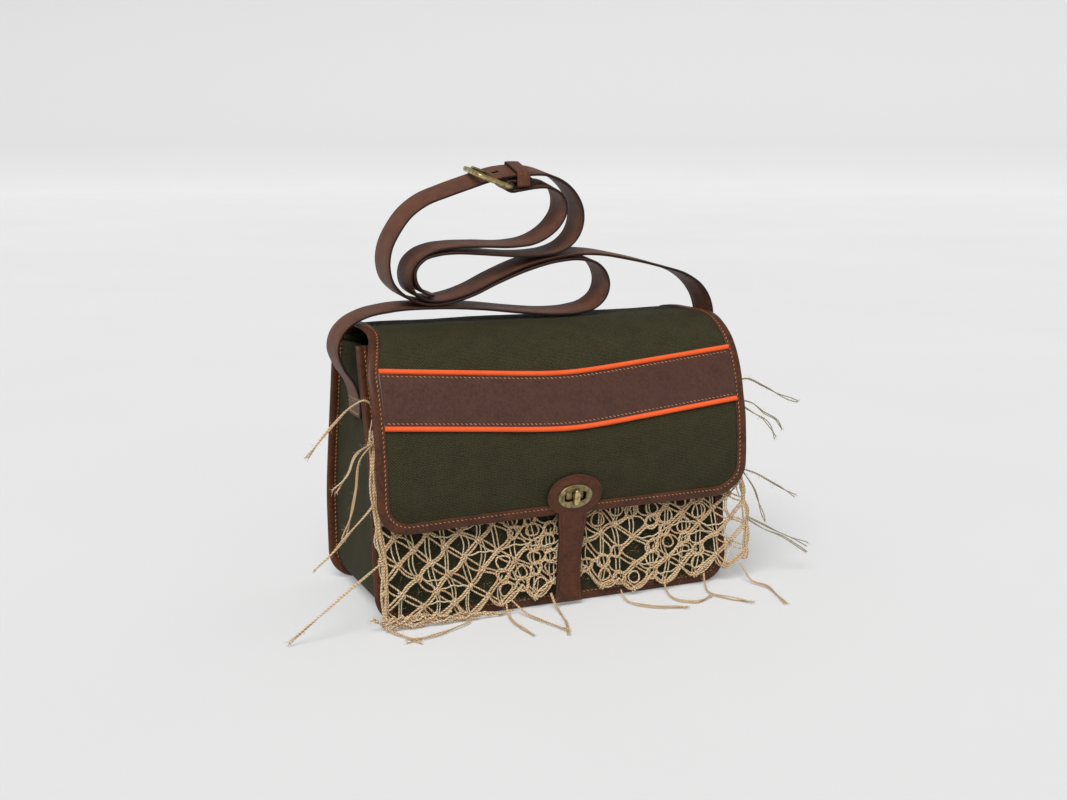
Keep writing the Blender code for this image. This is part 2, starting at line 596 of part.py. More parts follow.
def tipped(lift, shift):
    """Direction of the strap's width, to the back, from its back edge's lift and shift over the width."""
    rise, aside = np.asarray(lift) / STRAP_WIDTH, -np.asarray(shift) / STRAP_WIDTH
    return np.stack([aside, np.sqrt(1 - rise**2 - aside**2), rise], axis=-1)


def strap_surface(rows):
    """Ribbon along a route in the plane of X and Z, its width tipped by the lift and shift columns."""
    rows = np.array(rows, float) * 0.001
    run = with_run(rows[:, :2])[:, 0]
    route = np.column_stack([run, rows])
    spans = len(rows) - 1

    def surface(u, v):
        here = smooth(route, np.interp(v * spans, np.arange(spans + 1), run))
        width = ((u - 0.5) * STRAP_WIDTH)[:, None] * tipped(here[:, 2], here[:, 3])
        return np.column_stack([here[:, 0], np.zeros(len(u)), here[:, 1]]) + width
    return surface, spans


def buckle_frame():
    """Axes of the buckle: X along the bar, Y from the bar to the free end, Z out of the frame, upwards."""
    rise = math.radians(BUCKLE_RISE)
    along = Vector(tipped(BUCKLE_TIP[0] / 1000, BUCKLE_TIP[1] / 1000))
    out = along.cross(Vector((-math.cos(rise), 0.0, math.sin(rise)))).normalized()
    ahead = out.cross(along)
    place = Vector((BUCKLE_BAR[0] / 1000, 0.0, BUCKLE_BAR[1] / 1000))
    return Matrix.LocRotScale(place, Matrix((along, ahead, out)).transposed(), None)


def shoulder_strap(leather, brass, group, tools):
    """Two lengths of leather strap, the wire buckle that joins them, its prong, and the keeper."""
    frame = buckle_frame()
    solids = {}
    for name, rows in (("strap_long", STRAP_LONG), ("strap_short", STRAP_SHORT)):
        surface, spans = strap_surface(rows)
        solids[name] = sheet(name, (1, spans + spans // 2), surface, STRAP_DEPTH, leather, group)

    half, length, corner = BUCKLE_WIDTH / 2, BUCKLE_LENGTH, BUCKLE_CORNER
    ring = []
    for middle_x, middle_y, start in ((half - corner, length - corner, 0), (corner - half, length - corner, 90),
                                      (corner - half, corner, 180), (half - corner, corner, 270)):
        for turn in np.radians(start + np.array([0.0, 30.0, 60.0, 90.0])):
            ring.append((middle_x + corner * math.cos(turn), middle_y + corner * math.sin(turn), 0.0))
    bars = wire("buckle_frame", ring, BUCKLE_WIRE, brass, group, sides=2, closed=True)
    bars.matrix_world = frame

    hook = BUCKLE_WIRE + GAP + PRONG_WIRE
    turns = np.radians(np.linspace(-160, 90, 9))
    path = [(0.0, hook * -math.cos(turn), hook * math.sin(turn)) for turn in turns]
    path += [(0.0, length * f, hook) for f in (0.25, 0.5, 0.75, 1.0, 1.06)]
    prong = wire("buckle_prong", path, PRONG_WIRE, brass, group)
    prong.matrix_world = frame

    slot = block("prong_slot", PRONG_SLOT, frame @ Matrix.Translation((0, 0.0035, 0)), tools)
    boolean(solids["strap_short"], slot, "DIFFERENCE")
    hole = block("prong_hole", PRONG_HOLE, frame @ Matrix.Translation((0, PRONG_HOLE_AT, hook)), tools)
    boolean(solids["strap_long"], hole, "DIFFERENCE")

    half_wide = STRAP_WIDTH / 2 + 4 * GAP + KEEPER_WALL / 2
    low = KEEPER_LOW / 1000 - KEEPER_WALL / 2
    high = KEEPER_HIGH / 1000 + KEEPER_WALL / 2
    middle, half_high, round_off = (low + high) / 2, (high - low) / 2, KEEPER_CORNER
    loop = []
    for side, top, start in ((1, 1, 0), (-1, 1, 90), (-1, -1, 180), (1, -1, 270)):
        for turn in np.radians(start + np.array([0.0, 45.0, 90.0])):
            loop.append((side * (half_wide - round_off) + round_off * math.cos(turn),
                         top * (half_high - round_off) + round_off * math.sin(turn)))
    loop = np.array(loop + loop[:1])

    def keeper(u, v):
        at = v * (len(loop) - 1)
        wide = np.interp(at, np.arange(len(loop)), loop[:, 0])
        tall = np.interp(at, np.arange(len(loop)), loop[:, 1])
        run = KEEPER_X / 1000 + (u - 0.5) * KEEPER_RUN
        return np.column_stack([run, np.zeros(len(run)), middle + tall]) + wide[:, None] * tipped(KEEPER_TIP[0] / 1000, KEEPER_TIP[1] / 1000)

    sheet("keeper", (1, len(loop) - 1), keeper, KEEPER_WALL, leather, group, closed=True)


def main():
    """Builds the bag."""
    for thing in list(bpy.data.objects):
        bpy.data.objects.remove(thing)
    group = bpy.data.collections.new("hunting_game_bag")
    tools = bpy.data.collections.new("cutters")
    for each in (group, tools):
        bpy.context.scene.collection.children.link(each)
    green = look("olive_cordura", "#33362A", 0.85)
    edge = look("russet_edging_leather", "#5E3520", 0.50)
    band_look = look("brown_band_leather", "#55342B", 0.45)
    strap_look = look("brown_strap_leather", "#6B4A3C", 0.50)
    orange = look("orange_piping", "#E8592F", 0.60)
    twine = look("jute_twine", "#C9A878", 0.90)
    brass = look("aged_brass", "#8F7A4A", 0.35, 1.0)
    body(green, edge, group)
    flap(green, edge, group)
    flap_trim(band_look, orange, group)
    net(twine, group, tools)
    closure(band_look, brass, group, tools)
    shoulder_strap(strap_look, brass, group, tools)


main()
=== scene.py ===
import math

import bmesh
import bpy
import numpy as np
from mathutils import Matrix


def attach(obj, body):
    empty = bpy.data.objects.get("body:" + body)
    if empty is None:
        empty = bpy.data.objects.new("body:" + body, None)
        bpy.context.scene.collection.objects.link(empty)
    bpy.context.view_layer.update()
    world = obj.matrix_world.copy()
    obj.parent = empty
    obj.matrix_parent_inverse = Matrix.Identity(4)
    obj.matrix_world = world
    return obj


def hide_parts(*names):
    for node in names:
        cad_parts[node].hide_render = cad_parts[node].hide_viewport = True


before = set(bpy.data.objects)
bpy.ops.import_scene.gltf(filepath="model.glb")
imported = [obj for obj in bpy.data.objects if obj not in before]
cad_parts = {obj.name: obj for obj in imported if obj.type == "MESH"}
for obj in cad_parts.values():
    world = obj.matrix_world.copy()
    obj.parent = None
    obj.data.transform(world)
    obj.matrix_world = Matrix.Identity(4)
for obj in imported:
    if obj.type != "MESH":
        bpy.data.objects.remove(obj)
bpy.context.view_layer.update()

rng = np.random.default_rng(11)
MM = 0.001
PAPER_GLOW = 0.21

# Sizes shared with the solids
BODY_WIDTH, BODY_HEIGHT, BODY_CORNER = 0.380, 0.262, 0.030
SEAM_TAPE, FLANGE = 0.0110, 0.0090
CLOTH = 0.0020
FLAP_WIDTH, FLAP_TOP_WIDTH, FLAP_CORNER = 0.388, 0.362, 0.034
FLAP_TAPE, FLAP_TAPE_DEPTH = 0.0110, 0.0034
FLAP_CROWN, FLAP_DROOP, FLAP_RIGHT, FLAP_LEAN = 0.0030, 0.0040, 0.0022, 0.0015
BAND_DIP, BAND_BEND = 0.0150, 0.0300
BAND_LOW, BAND_HIGH = 0.1810, 0.2310
PIPING_RADIUS = 0.0020
CLOSURE_DEPTH = 0.0024
LOCK_X, LOCK_HEIGHT = 0.0030, 0.1165
HEAD_WIDTH, HEAD_HEIGHT = 0.0580, 0.0420
EYELET, EYELET_HOLE = (0.0180, 0.0125, 0.0012), (0.0112, 0.0050)
TURN_BASE, KNOB, POST_RADIUS = (0.0110, 0.0055, 0.0012), (0.0083, 0.0032, 0.0046), 0.0022
STRAP_WIDTH = 0.0380
BUCKLE_BAR, BUCKLE_TIP, BUCKLE_RISE = (-25.0, 408.8), (4.2, -3.2), 19.0
BUCKLE_WIDTH, BUCKLE_LENGTH, BUCKLE_WIRE, PRONG_WIRE = 0.0480, 0.0370, 0.0025, 0.0014
KEEPER_X, KEEPER_WALL, KEEPER_TIP = -12.0, 0.0016, (8.8, -3.0)
KEEPER_LOW, KEEPER_HIGH = 411.9, 424.4

# Columns: height, depth of the seam
FRONT_SEAM = ((0.000, -0.079), (0.030, -0.075), (0.060, -0.071), (0.120, -0.067),
              (0.165, -0.060), (0.205, -0.047), (0.235, -0.038), (0.262, -0.030))
BACK_SEAM = ((0.000, 0.082), (0.030, 0.085), (0.060, 0.0865), (0.093, 0.0865),
             (0.130, 0.080), (0.167, 0.071), (0.220, 0.058), (0.262, 0.048))
# Columns: height, how far the middle of the front panel stands out
FRONT_BULGE = ((0.000, 0.000), (0.060, 0.009), (0.120, 0.012), (0.200, 0.014), (0.262, 0.002))
# Columns: depth, height, of the middle of the flap from its lower edge over to the back
FLAP_PROFILE = ((-0.0960, 0.0960), (-0.0985, 0.1080), (-0.1010, 0.1250), (-0.1013, 0.1400),
                (-0.1003, 0.1600), (-0.0975, 0.1830), (-0.0935, 0.1980), (-0.0875, 0.2205),
                (-0.0800, 0.2370), (-0.0700, 0.2515), (-0.0580, 0.2620), (-0.0430, 0.2705),
                (-0.0260, 0.2745), (0.0000, 0.2755), (0.0220, 0.2752), (0.0405, 0.2712), (0.0534, 0.2620),
                (0.0563, 0.2500), (0.0592, 0.2380))
# Columns: height, depth of the net
NET_HANG = ((0.000, -0.0875), (0.030, -0.0866), (0.090, -0.0852), (0.125, -0.0850), (0.170, -0.0790),
            (0.214, -0.0591))
# Columns: depth, height, of the closing strap below the flap
CLOSURE_RISE = ((-0.0906, 0.0045), (-0.0914, 0.0300), (-0.0950, 0.0600), (-0.0992, 0.0840))
# Columns: height, half width of the closing strap
CLOSURE_NECK = ((0.0045, 0.0148), (0.0200, 0.0134), (0.0480, 0.0124), (0.0760, 0.0132), (0.0880, 0.0150))
# Columns: across (X), height, and over the strap's width how much higher and how much further left its back
# edge lies, all in mm. This strap starts at the left side, lies on the flap, turns back over itself, rises
# round the left loop and goes through the buckle.
STRAP_LONG = (
    (-182.6, 190, 0, 0), (-182.8, 206, 0, 0), (-187, 222, 0, 0), (-198.2, 240, 0, 0), (-203, 256, 0, 0.5),
    (-199.4, 269.7, 1, 0.5), (-190.2, 280.2, 1.5, 0), (-175.5, 287.6, 2, 0), (-150, 292.6, 3, 0),
    (-104, 293.4, 3, 0.5), (-58, 290.2, 3, 0.5), (-15, 284.6, 3, 0.5), (22, 281, 3.5, 0.5),
    (48, 281.8, 4, 0.5), (65, 285.8, 4, 1), (77, 295.7, 3, 1.2), (80.6, 308, 2.5, 1.2), (76.6, 321.5, 3, 1),
    (67, 330.9, 4, 1), (50, 335.1, 4, 1.5), (24, 334.2, 4, 1), (-5, 327.8, 4, 1), (-40, 315.4, 3.5, 1),
    (-68, 303.6, 3, 1), (-88, 298.2, 3, 1), (-104, 296.4, 3, 1), (-121, 298.8, 3, 1.5),
    (-136.5, 306.6, 3, 2), (-148, 319, 3, 2), (-151.8, 333.5, 3, 2), (-150, 350, 3.5, 2),
    (-140.6, 368.8, 4.5, 2), (-129, 383.2, 5.5, 1.5), (-112, 395, 7.5, 0), (-90, 403.2, 9, -2),
    (-66, 410.8, 9.5, -3), (-47, 416.6, 9.5, -3), (-30, 420.2, 9.5, -3), (-8, 421.6, 8.6, -3),
    (14, 419.3, 5, -1), (32.2, 411.2, 4, 0), (44.7, 398.5, 3, 0), (51.2, 384, 3, 0), (51.2, 370, 3, 0),
    (46.5, 358.2, 3, 0), (36.5, 348.3, 3, 0.5), (22, 342.3, 3, 1), (4, 340.2, 2.5, 1), (-16, 340, 2.5, 1),
    (-40, 342, 2.5, 1), (-62, 344.2, 3, 1), (-84, 345.8, 3.5, 1.5), (-101, 344.8, 3.5, 1.5),
    (-117, 339.8, 3, 1.5), (-125.2, 330, 3, 1.5), (-124.2, 318.2, 3, 1.5), (-116, 308.6, 3, 1.5),
    (-102, 303.4, 3, 1.5))
# This strap starts at the right side, crosses over the other, curls back and folds round the buckle's bar
STRAP_SHORT = (
    (182.6, 190, 0, 0), (182.8, 206, 0, 0), (187, 222, 0, 0), (195.6, 238, 0, 0), (200.8, 255, 0, 0.5),
    (201.6, 272, 0, 1.5), (196.6, 289, 0.5, 2.5), (186.6, 302.6, 1, 3), (172, 313, 1.5, 2),
    (140, 323.8, 2, 1), (100, 333.6, 2.5, 1), (70, 339, 3, 1), (50, 340.2, 3.6, 1), (24, 337.9, 3.4, 1),
    (-8, 331.3, 3.4, 1), (-40, 319.2, 3.5, 1), (-68, 307, 3, 1), (-86, 301.8, 3, 1), (-102, 299.8, 3, 1),
    (-117, 302.4, 3, 1.5), (-127.2, 310.4, 3, 1.5), (-130, 322.2, 3, 1.5), (-126.6, 334.4, 3, 1.5),
    (-116.6, 343.8, 3.5, 1.5), (-102, 349.2, 3.5, 1.5), (-84, 351.2, 3.5, 1.5), (-56, 351.2, 3.5, 1.5),
    (-22, 350.2, 3.5, 1.5), (-2, 352.8, 4, 1.5), (12.5, 359, 4, 1.5), (25.5, 369.6, 4, 1.5),
    (32.3, 381.4, 4, 1), (32.8, 392, 4.5, 0.5), (27.3, 402.4, 6, -1), (16.5, 407.8, 6.6, -2),
    (3.5, 408.4, 6.6, -2.6), (-6.5, 406.8, 5.8, -3), (-16, 404.8, 4.6, -3.2), (-24, 403.9, 4.2, -3.2),
    (-28, 405.6, 4.2, -3.2), (-29.4, 408.8, 4.2, -3.2), (-28, 412, 4.2, -3.2), (-25, 413.6, 4.6, -3.2),
    (-19, 415, 7.6, -3.2), (-10, 415.2, 8.4, -3), (0, 415.7, 8.8, -3))

# Camera, at the photograph's angle
camera = bpy.data.objects.new("camera", bpy.data.cameras.new("camera"))
bpy.context.scene.collection.objects.link(camera)
camera.location = (-0.56294, -1.31087, 0.46826)
camera.rotation_euler = (math.radians(90 - 11.0126), 0.0, math.radians(-23.4406))
camera.data.sensor_fit = "HORIZONTAL"
camera.data.sensor_width = 36.0
camera.data.lens = 48.187
bpy.context.scene.camera = camera


# Curves and outlines

def smooth(rows, at):
    """Values at the places `at` on a smooth cubic through the rows, whose first column is the place."""
    rows = np.asarray(rows, float)
    where, value = rows[:, 0], rows[:, 1:]
    step = np.diff(where)[:, None]
    slope = np.diff(value, axis=0) / step
    tangent = np.empty_like(value)
    tangent[0], tangent[-1] = slope[0], slope[-1]
    tangent[1:-1] = (slope[:-1] * step[1:] + slope[1:] * step[:-1]) / (step[1:] + step[:-1])
    at = np.clip(np.asarray(at, float), where[0], where[-1])
    span = np.clip(np.searchsorted(where, at, side="right") - 1, 0, len(where) - 2)
    f = ((at - where[span])[..., None]) / step[span]
    return ((2 * f**3 - 3 * f**2 + 1) * value[span] + (f**3 - 2 * f**2 + f) * step[span] * tangent[span]
            + (3 * f**2 - 2 * f**3) * value[span + 1] + (f**3 - f**2) * step[span] * tangent[span + 1])


def with_run(points):
    """The points with their distance along the chain in front, as smooth() takes them."""
    points = np.asarray(points, float)
    run = np.concatenate([[0.0], np.cumsum(np.linalg.norm(np.diff(points, axis=0), axis=1))])
    return np.column_stack([run, points])


def unit(vectors):
    """The vectors at length 1."""
    return vectors / np.maximum(np.linalg.norm(vectors, axis=-1, keepdims=True), 1e-12)


REACH = 0.0005          # how far to each side a line's direction is measured


def heading(rows, run):
    """Direction of the smooth line through the rows, at a distance along it."""
    return unit(smooth(rows, run + REACH) - smooth(rows, run - REACH))


def circle(count):
    """Even angles round a circle."""
    return np.arange(count) * 2 * math.pi / count


def even_shares(rows, columns, left=0):
    """Grid of even shares: along its rows from 0 to 1, across its columns from `left` to 1."""
    return np.meshgrid(np.linspace(0, 1, rows), np.linspace(left, 1, columns), indexing="ij")


FLAP_RUN = with_run(FLAP_PROFILE)
FLAP_LENGTH = FLAP_RUN[-1, 0]


def flap_run_at(height):
    """Distance up the flap's face from its lower edge to a height, on the front of the bag."""
    return np.interp(height, FLAP_RUN[:14, 2], FLAP_RUN[:14, 0])


def part_way(run, start, end):
    """Rises softly from 0 to 1 between two distances from the flap's lower edge."""
    f = np.clip((run - start) / (end - start), 0.0, 1.0)
    return f * f * (3 - 2 * f)


def inward(x, run):
    """How far the flap's edge moves to the right on that side: it narrows at top left and back right."""
    narrow = (FLAP_WIDTH - FLAP_TOP_WIDTH) / 2
    left = narrow * part_way(run, flap_run_at(0.235), flap_run_at(0.272))
    right = FLAP_RIGHT - (narrow + FLAP_RIGHT) * part_way(run, flap_run_at(0.2745), FLAP_RUN[15, 0])
    return np.where(x < 0, left, right)


def flap_point(x, run, lift):
    """Point on the flap at x and a distance from the lower edge, `lift` outside the middle of its wall."""
    here, ahead = smooth(FLAP_RUN, run), heading(FLAP_RUN, run)
    front = np.clip(run / flap_run_at(0.25), 0.0, 1.0)
    crown = FLAP_CROWN * (1 - (x / (FLAP_WIDTH / 2))**2) * np.sin(math.pi * front)
    droop = FLAP_DROOP * np.clip(-x / (FLAP_WIDTH / 2), 0, 1)**2 * (1 - front)**2
    over = (part_way(run, flap_run_at(0.245), flap_run_at(0.272))
            - part_way(run, FLAP_RUN[13, 0], FLAP_RUN[15, 0]))
    droop = droop + FLAP_LEAN * x / (FLAP_WIDTH / 2) * over
    return np.stack([x + 0.0 * run, here[..., 0] - ahead[..., 1] * (lift + crown),
                     here[..., 1] + ahead[..., 0] * (lift + crown) - droop], axis=-1)


def u_length(half, low, high, radius):
    """Length of a U-shaped outline."""
    return 2 * (high - low - radius) + math.pi * radius + 2 * (half - radius)


def u_place(t, half, low, high, radius, inset=0.0):
    """Place at a share t along a U: down the left side, round the corner, along the base and up the right
    side. inset moves it inward, square to the outline."""
    side, arc = high - low - radius, radius * math.pi / 2
    total = u_length(half, low, high, radius)
    s = t * total
    m = np.minimum(s, total - s)
    turn = np.clip((m - side) / radius, 0, math.pi / 2)
    along = np.clip(m - side - arc, 0, None)
    across = half - radius + (radius - inset) * np.cos(turn) - along
    up = low + radius - (radius - inset) * np.sin(turn) + np.clip(side - m, 0, None)
    return np.where(s <= total / 2, -1.0, 1.0) * across, up


def panel_place(u, v, half, low, high, radius):
    """Place inside the same U: u across, v from its lower edge up to its top."""
    corner = radius * math.pi / 2 / (radius * math.pi / 2 + high - low - radius)
    turn = np.clip(v / corner, 0, 1) * math.pi / 2
    rise = np.clip((v - corner) / (1 - corner), 0, 1)
    up = low + radius - radius * np.cos(turn) + (high - low - radius) * rise
    return (2 * u - 1) * (half - radius + radius * np.sin(turn)), up


def ripple(a, b, scale, seed):
    """Soft unevenness between about -1 and 1: sine waves in turned directions, each finer and weaker."""
    dice = np.random.default_rng(seed)
    total, weight = 0.0, 0.0
    for octave in range(3):
        for _ in range(3):
            angle, phase = dice.uniform(0, math.pi), dice.uniform(0, 2 * math.pi)
            wave = 2 * math.pi * 2**octave * dice.uniform(0.8, 1.25) / scale
            total = total + np.sin(wave * (a * math.cos(angle) + b * math.sin(angle)) + phase) / 2**octave
            weight += 0.6 / 2**octave
    return total / weight


# Meshes

def build(name, points, uv, wrap=(False, False), flip=False, marks=None, weld=False):
    """Object from grids of points, (copies, rows, columns, 3), as quads. uv gives the corners' places in the
    cloth in metres, one row or column more where the grid wraps. marks are values kept at the vertices."""
    points = np.asarray(points, float)
    if points.ndim == 3:
        points, uv = points[None], np.asarray(uv, float)[None]
    copies, rows, columns = points.shape[:3]
    i = np.arange(rows if wrap[0] else rows - 1)
    j = np.arange(columns if wrap[1] else columns - 1)
    a, b = np.meshgrid(i, j, indexing="ij")
    ci = np.stack([a, a + 1, a + 1, a], -1).reshape(-1, 4)
    cj = np.stack([b, b, b + 1, b + 1], -1).reshape(-1, 4)
    if flip:
        ci, cj = ci[:, ::-1], cj[:, ::-1]
    quads = (ci % rows) * columns + cj % columns
    quads = (np.arange(copies)[:, None, None] * rows * columns + quads).reshape(-1, 4)
    corner_uv = uv[:, ci, cj].reshape(-1, 2)
    mesh = bpy.data.meshes.new(name)
    mesh.vertices.add(copies * rows * columns)
    mesh.vertices.foreach_set("co", points.astype(np.float32).ravel())
    mesh.loops.add(quads.size)
    mesh.loops.foreach_set("vertex_index", quads.astype(np.int32).ravel())
    mesh.polygons.add(len(quads))
    mesh.polygons.foreach_set("loop_start", np.arange(0, quads.size, 4, dtype=np.int32))
    mesh.polygons.foreach_set("use_smooth", np.ones(len(quads), bool))
    layer = mesh.uv_layers.new(name="UVMap")
    mesh.update(calc_edges=True)
    layer.data.foreach_set("uv", corner_uv.astype(np.float32).ravel())
    for mark, values in (marks or {}).items():
        spread_out = np.broadcast_to(values, points.shape[:3]).astype(np.float32).ravel()
        mesh.attributes.new(mark, "FLOAT", "POINT").data.foreach_set("value", spread_out)
    if weld:
        shape = bmesh.new()
        shape.from_mesh(mesh)
        bmesh.ops.remove_doubles(shape, verts=shape.verts, dist=1e-6)
        shape.to_mesh(mesh)
        shape.free()
    mesh.validate()
    thing = bpy.data.objects.new(name, mesh)
    bpy.context.scene.collection.objects.link(thing)
    return thing


def grid_uv(rows, columns, long_m, wide_m):
    """Even places in the cloth, rows along the run and columns across it."""
    along, across = np.linspace(0, long_m, rows), np.linspace(0, wide_m, columns)
    return np.stack(np.meshgrid(along, across, indexing="ij"), -1)[..., ::-1]


def dress(thing, material, slot, *nodes, body="bag"):
    """Gives a piece its finish and its body, and hides the solids that it stands for."""
    thing.data.materials.append(material)
    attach(thing, body)
    if nodes:
        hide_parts(*nodes)
    return thing


def wall(thing, thickness):
    """Gives an open cloth its thickness, half to each side."""
    solid = thing.modifiers.new("wall", "SOLIDIFY")
    solid.thickness = thickness
    solid.offset = 0.0
    solid.use_even_offset = True
    return thing


def frames(paths):
    """Tangents and two directions square to them along paths (copies, points, 3), carried on untwisted."""
    tangent = unit(np.gradient(paths, axis=1))
    pick = np.abs(tangent[:, 0]).argmin(axis=-1)
    side = np.eye(3)[pick]
    sides = np.empty_like(paths)
    for step in range(paths.shape[1]):
        side = unit(side - (side * tangent[:, step]).sum(-1, keepdims=True) * tangent[:, step])
        sides[:, step] = side
    return tangent, sides, np.cross(tangent, sides)


def tubes(name, paths, radius, sides=8, twist=0.0, lobe=0.0, close=False, taper_ends=0.0):
    """Round or two-ply tubes along paths (copies, points, 3). The radius is
    R (1 - lobe + lobe cos 2(angle - twist s)), s being the distance along, so that two plies turn about each
    other. The ends close to a point."""
    paths = np.asarray(paths, float)
    copies, count = paths.shape[:2]
    if close:
        tangent = unit(np.roll(paths, -1, 1) - np.roll(paths, 1, 1))
        out = unit(paths - paths.mean(axis=1, keepdims=True))
        side = unit(out - (out * tangent).sum(-1, keepdims=True) * tangent)
        other = np.cross(tangent, side)
    else:
        tangent, side, other = frames(paths)
    step = np.linalg.norm(np.diff(paths, axis=1), axis=-1)
    run = np.concatenate([np.zeros((copies, 1)), np.cumsum(step, axis=1)], axis=1)
    angle = circle(sides)
    size = np.full((copies, count), float(radius))
    if taper_ends:
        share = np.minimum(run, run[:, -1:] - run) / taper_ends
        size *= np.sqrt(np.clip(share, 0, 1) * (2 - np.clip(share, 0, 1)))
    ring = size[..., None] * (1 - lobe + lobe * np.cos(2 * (angle - twist * run[..., None])))
    points = (paths[:, :, None] + ring[..., None] * (np.cos(angle)[:, None] * side[:, :, None]
                                                     + np.sin(angle)[:, None] * other[:, :, None]))
    if not close:
        points = np.concatenate([np.repeat(paths[:, :1, None], sides, 2), points,
                                 np.repeat(paths[:, -1:, None], sides, 2)], axis=1)
        run = np.concatenate([run[:, :1], run, run[:, -1:]], axis=1)
    else:
        run = np.concatenate([run, run[:, -1:] + step[:, :1]], axis=1)
    around = np.arange(sides + 1) / sides
    uv = np.stack(np.broadcast_arrays(around[None, None], run[..., None]), axis=-1)
    marks = {"shade": rng.uniform(0, 1, copies)[:, None, None]}
    return build(name, points, uv, wrap=(close, True), flip=True, marks=marks, weld=not close)


def volume_sign(points, wrap_rows=False):
    """Sign of the volume that a grid closed across its columns holds."""
    a = points
    b = np.roll(points, -1, axis=1)
    c = np.roll(b, -1, axis=0) if wrap_rows else b[1:]
    d = np.roll(points, -1, axis=0) if wrap_rows else a[1:]
    if not wrap_rows:
        a, b = a[:-1], b[:-1]
    return np.sign((np.cross(d - a, c - a) * a).sum() + (np.cross(c - a, b - a) * a).sum())


def capped(points):
    """The grid with its first and last rows drawn to their middles, which closes its ends."""
    ends = [np.repeat(row.mean(1, keepdims=True), points.shape[1], 1) for row in (points[:1], points[-1:])]
    return np.concatenate([ends[0], points, ends[1]])


def closed_grid(name, points, long_m, wide_m, marks=None, wrap_rows=False):
    """Object from a grid that closes across its columns, turned so that its faces point outwards. Its UV is
    long_m along the rows and wide_m round the columns."""
    uv = grid_uv(points.shape[0] + wrap_rows, points.shape[1] + 1, long_m, wide_m)
    flip = volume_sign(points, wrap_rows) < 0
    marks = {key: np.asarray(value)[None] for key, value in (marks or {}).items()}
    return build(name, points, uv, wrap=(wrap_rows, True), flip=flip, marks=marks, weld=not wrap_rows)


STITCH_LENGTH, STITCH_RADIUS, STITCH_LEAN = 0.0031, 0.00045, 0.45


def stitches(name, path, out, slot, pitch=0.0043):
    """Row of short rounded stitches along a path, lying on the surface that faces `out`. Each is a stretched
    ball: across cos a, up sin a, along the sine of its share of the length."""
    run = with_run(path)
    total = run[-1, 0]
    count = max(2, int(total / pitch))
    middle = (np.arange(count) + 0.5) * total / count
    here = smooth(run, middle)
    ahead = heading(run, middle)
    up = unit(smooth(np.column_stack([run[:, 0], out]), middle))
    side = np.cross(ahead, up)
    ahead = unit(ahead + STITCH_LEAN * side)
    side = np.cross(ahead, up)
    share = np.linspace(-1, 1, 7)
    angle = np.arange(6) * math.pi / 3
    size = STITCH_RADIUS * np.sqrt(np.clip(1 - share**2, 0, 1))**0.7
    points = (here[:, None, None] + ahead[:, None, None] * (share * STITCH_LENGTH / 2)[:, None, None]
              + size[:, None, None] * (np.cos(angle)[:, None] * side[:, None, None]
                                       + np.sin(angle)[:, None] * up[:, None, None])
              - up[:, None, None] * (0.35 * STITCH_RADIUS * share**2)[:, None, None])
    places = np.meshgrid(share * STITCH_LENGTH / 2, np.arange(7) / 6, indexing="ij")
    uv = np.broadcast_to(np.stack(places, -1), (count, 7, 7, 2))
    marks = {"shade": rng.uniform(0, 1, count)[:, None, None]}
    row = build(name, points, uv, wrap=(False, True), flip=True, marks=marks, weld=True)
    return dress(row, tan_thread, slot)


# Materials

def linear(code):
    """Linear colour from an sRGB hex code."""
    channels = [int(code[i:i + 2], 16) / 255 for i in (1, 3, 5)]
    return tuple(c / 12.92 if c <= 0.04045 else ((c + 0.055) / 1.055) ** 2.4 for c in channels) + (1.0,)


def add(material, kind, inputs=None, **settings):
    """Adds one node with its settings, and links or sets its inputs."""
    made = material.node_tree.nodes.new(kind)
    for key, value in settings.items():
        setattr(made, key, value)
    for socket, value in (inputs or {}).items():
        if isinstance(value, bpy.types.NodeSocket):
            material.node_tree.links.new(value, made.inputs[socket])
        else:
            made.inputs[socket].default_value = value
    return made


def new_finish(name, **values):
    """Material with a Principled shader whose sockets have the given values."""
    material = bpy.data.materials.new(name)
    material.use_nodes = True
    shader = material.node_tree.nodes["Principled BSDF"]
    for socket, value in values.items():
        shader.inputs[socket.replace("_", " ")].default_value = value
    return material, shader


def math_node(material, operation, a, b=0.0):
    """Result of one sum on two values."""
    return add(material, "ShaderNodeMath", {0: a, 1: b}, operation=operation).outputs[0]


def blend_colour(material, share, a, b):
    """Mix of two colours by a share."""
    mix = add(material, "ShaderNodeMix", {0: share}, data_type="RGBA")
    for index, value in ((6, a), (7, b)):
        if isinstance(value, bpy.types.NodeSocket):
            material.node_tree.links.new(value, mix.inputs[index])
        else:
            mix.inputs[index].default_value = value
    return mix.outputs[2]


def spread(material, value, low=0.0, high=1.0, first=0.0, last=1.0):
    """The value's range from low to high, moved to run from first to last and held there."""
    inputs = {"Value": value, "From Min": low, "From Max": high, "To Min": first, "To Max": last}
    return add(material, "ShaderNodeMapRange", inputs).outputs[0]


def scaled(material, value, factor, more=0.0):
    """The value times a factor, plus more."""
    return math_node(material, "ADD", math_node(material, "MULTIPLY", value, factor), more)


def noise(material, place, size_mm, detail=3.0):
    """Noise of a feature size in mm, spread to run from 0 to 1 between two of its values."""
    inputs = {"Vector": place, "Scale": 1000 / size_mm, "Detail": detail, "Roughness": 0.55}
    return spread(material, add(material, "ShaderNodeTexNoise", inputs).outputs["Fac"], 0.35, 0.65)


def object_place(material):
    """Places in the piece's own axes."""
    return add(material, "ShaderNodeTexCoord").outputs["Object"]


def cloth_place(material):
    """Places in the cloth or along the twine, in metres."""
    return add(material, "ShaderNodeUVMap", uv_map="UVMap").outputs["UV"]


def kept_mark(material, name):
    """Value kept at the vertices."""
    return add(material, "ShaderNodeAttribute", attribute_name=name).outputs["Fac"]


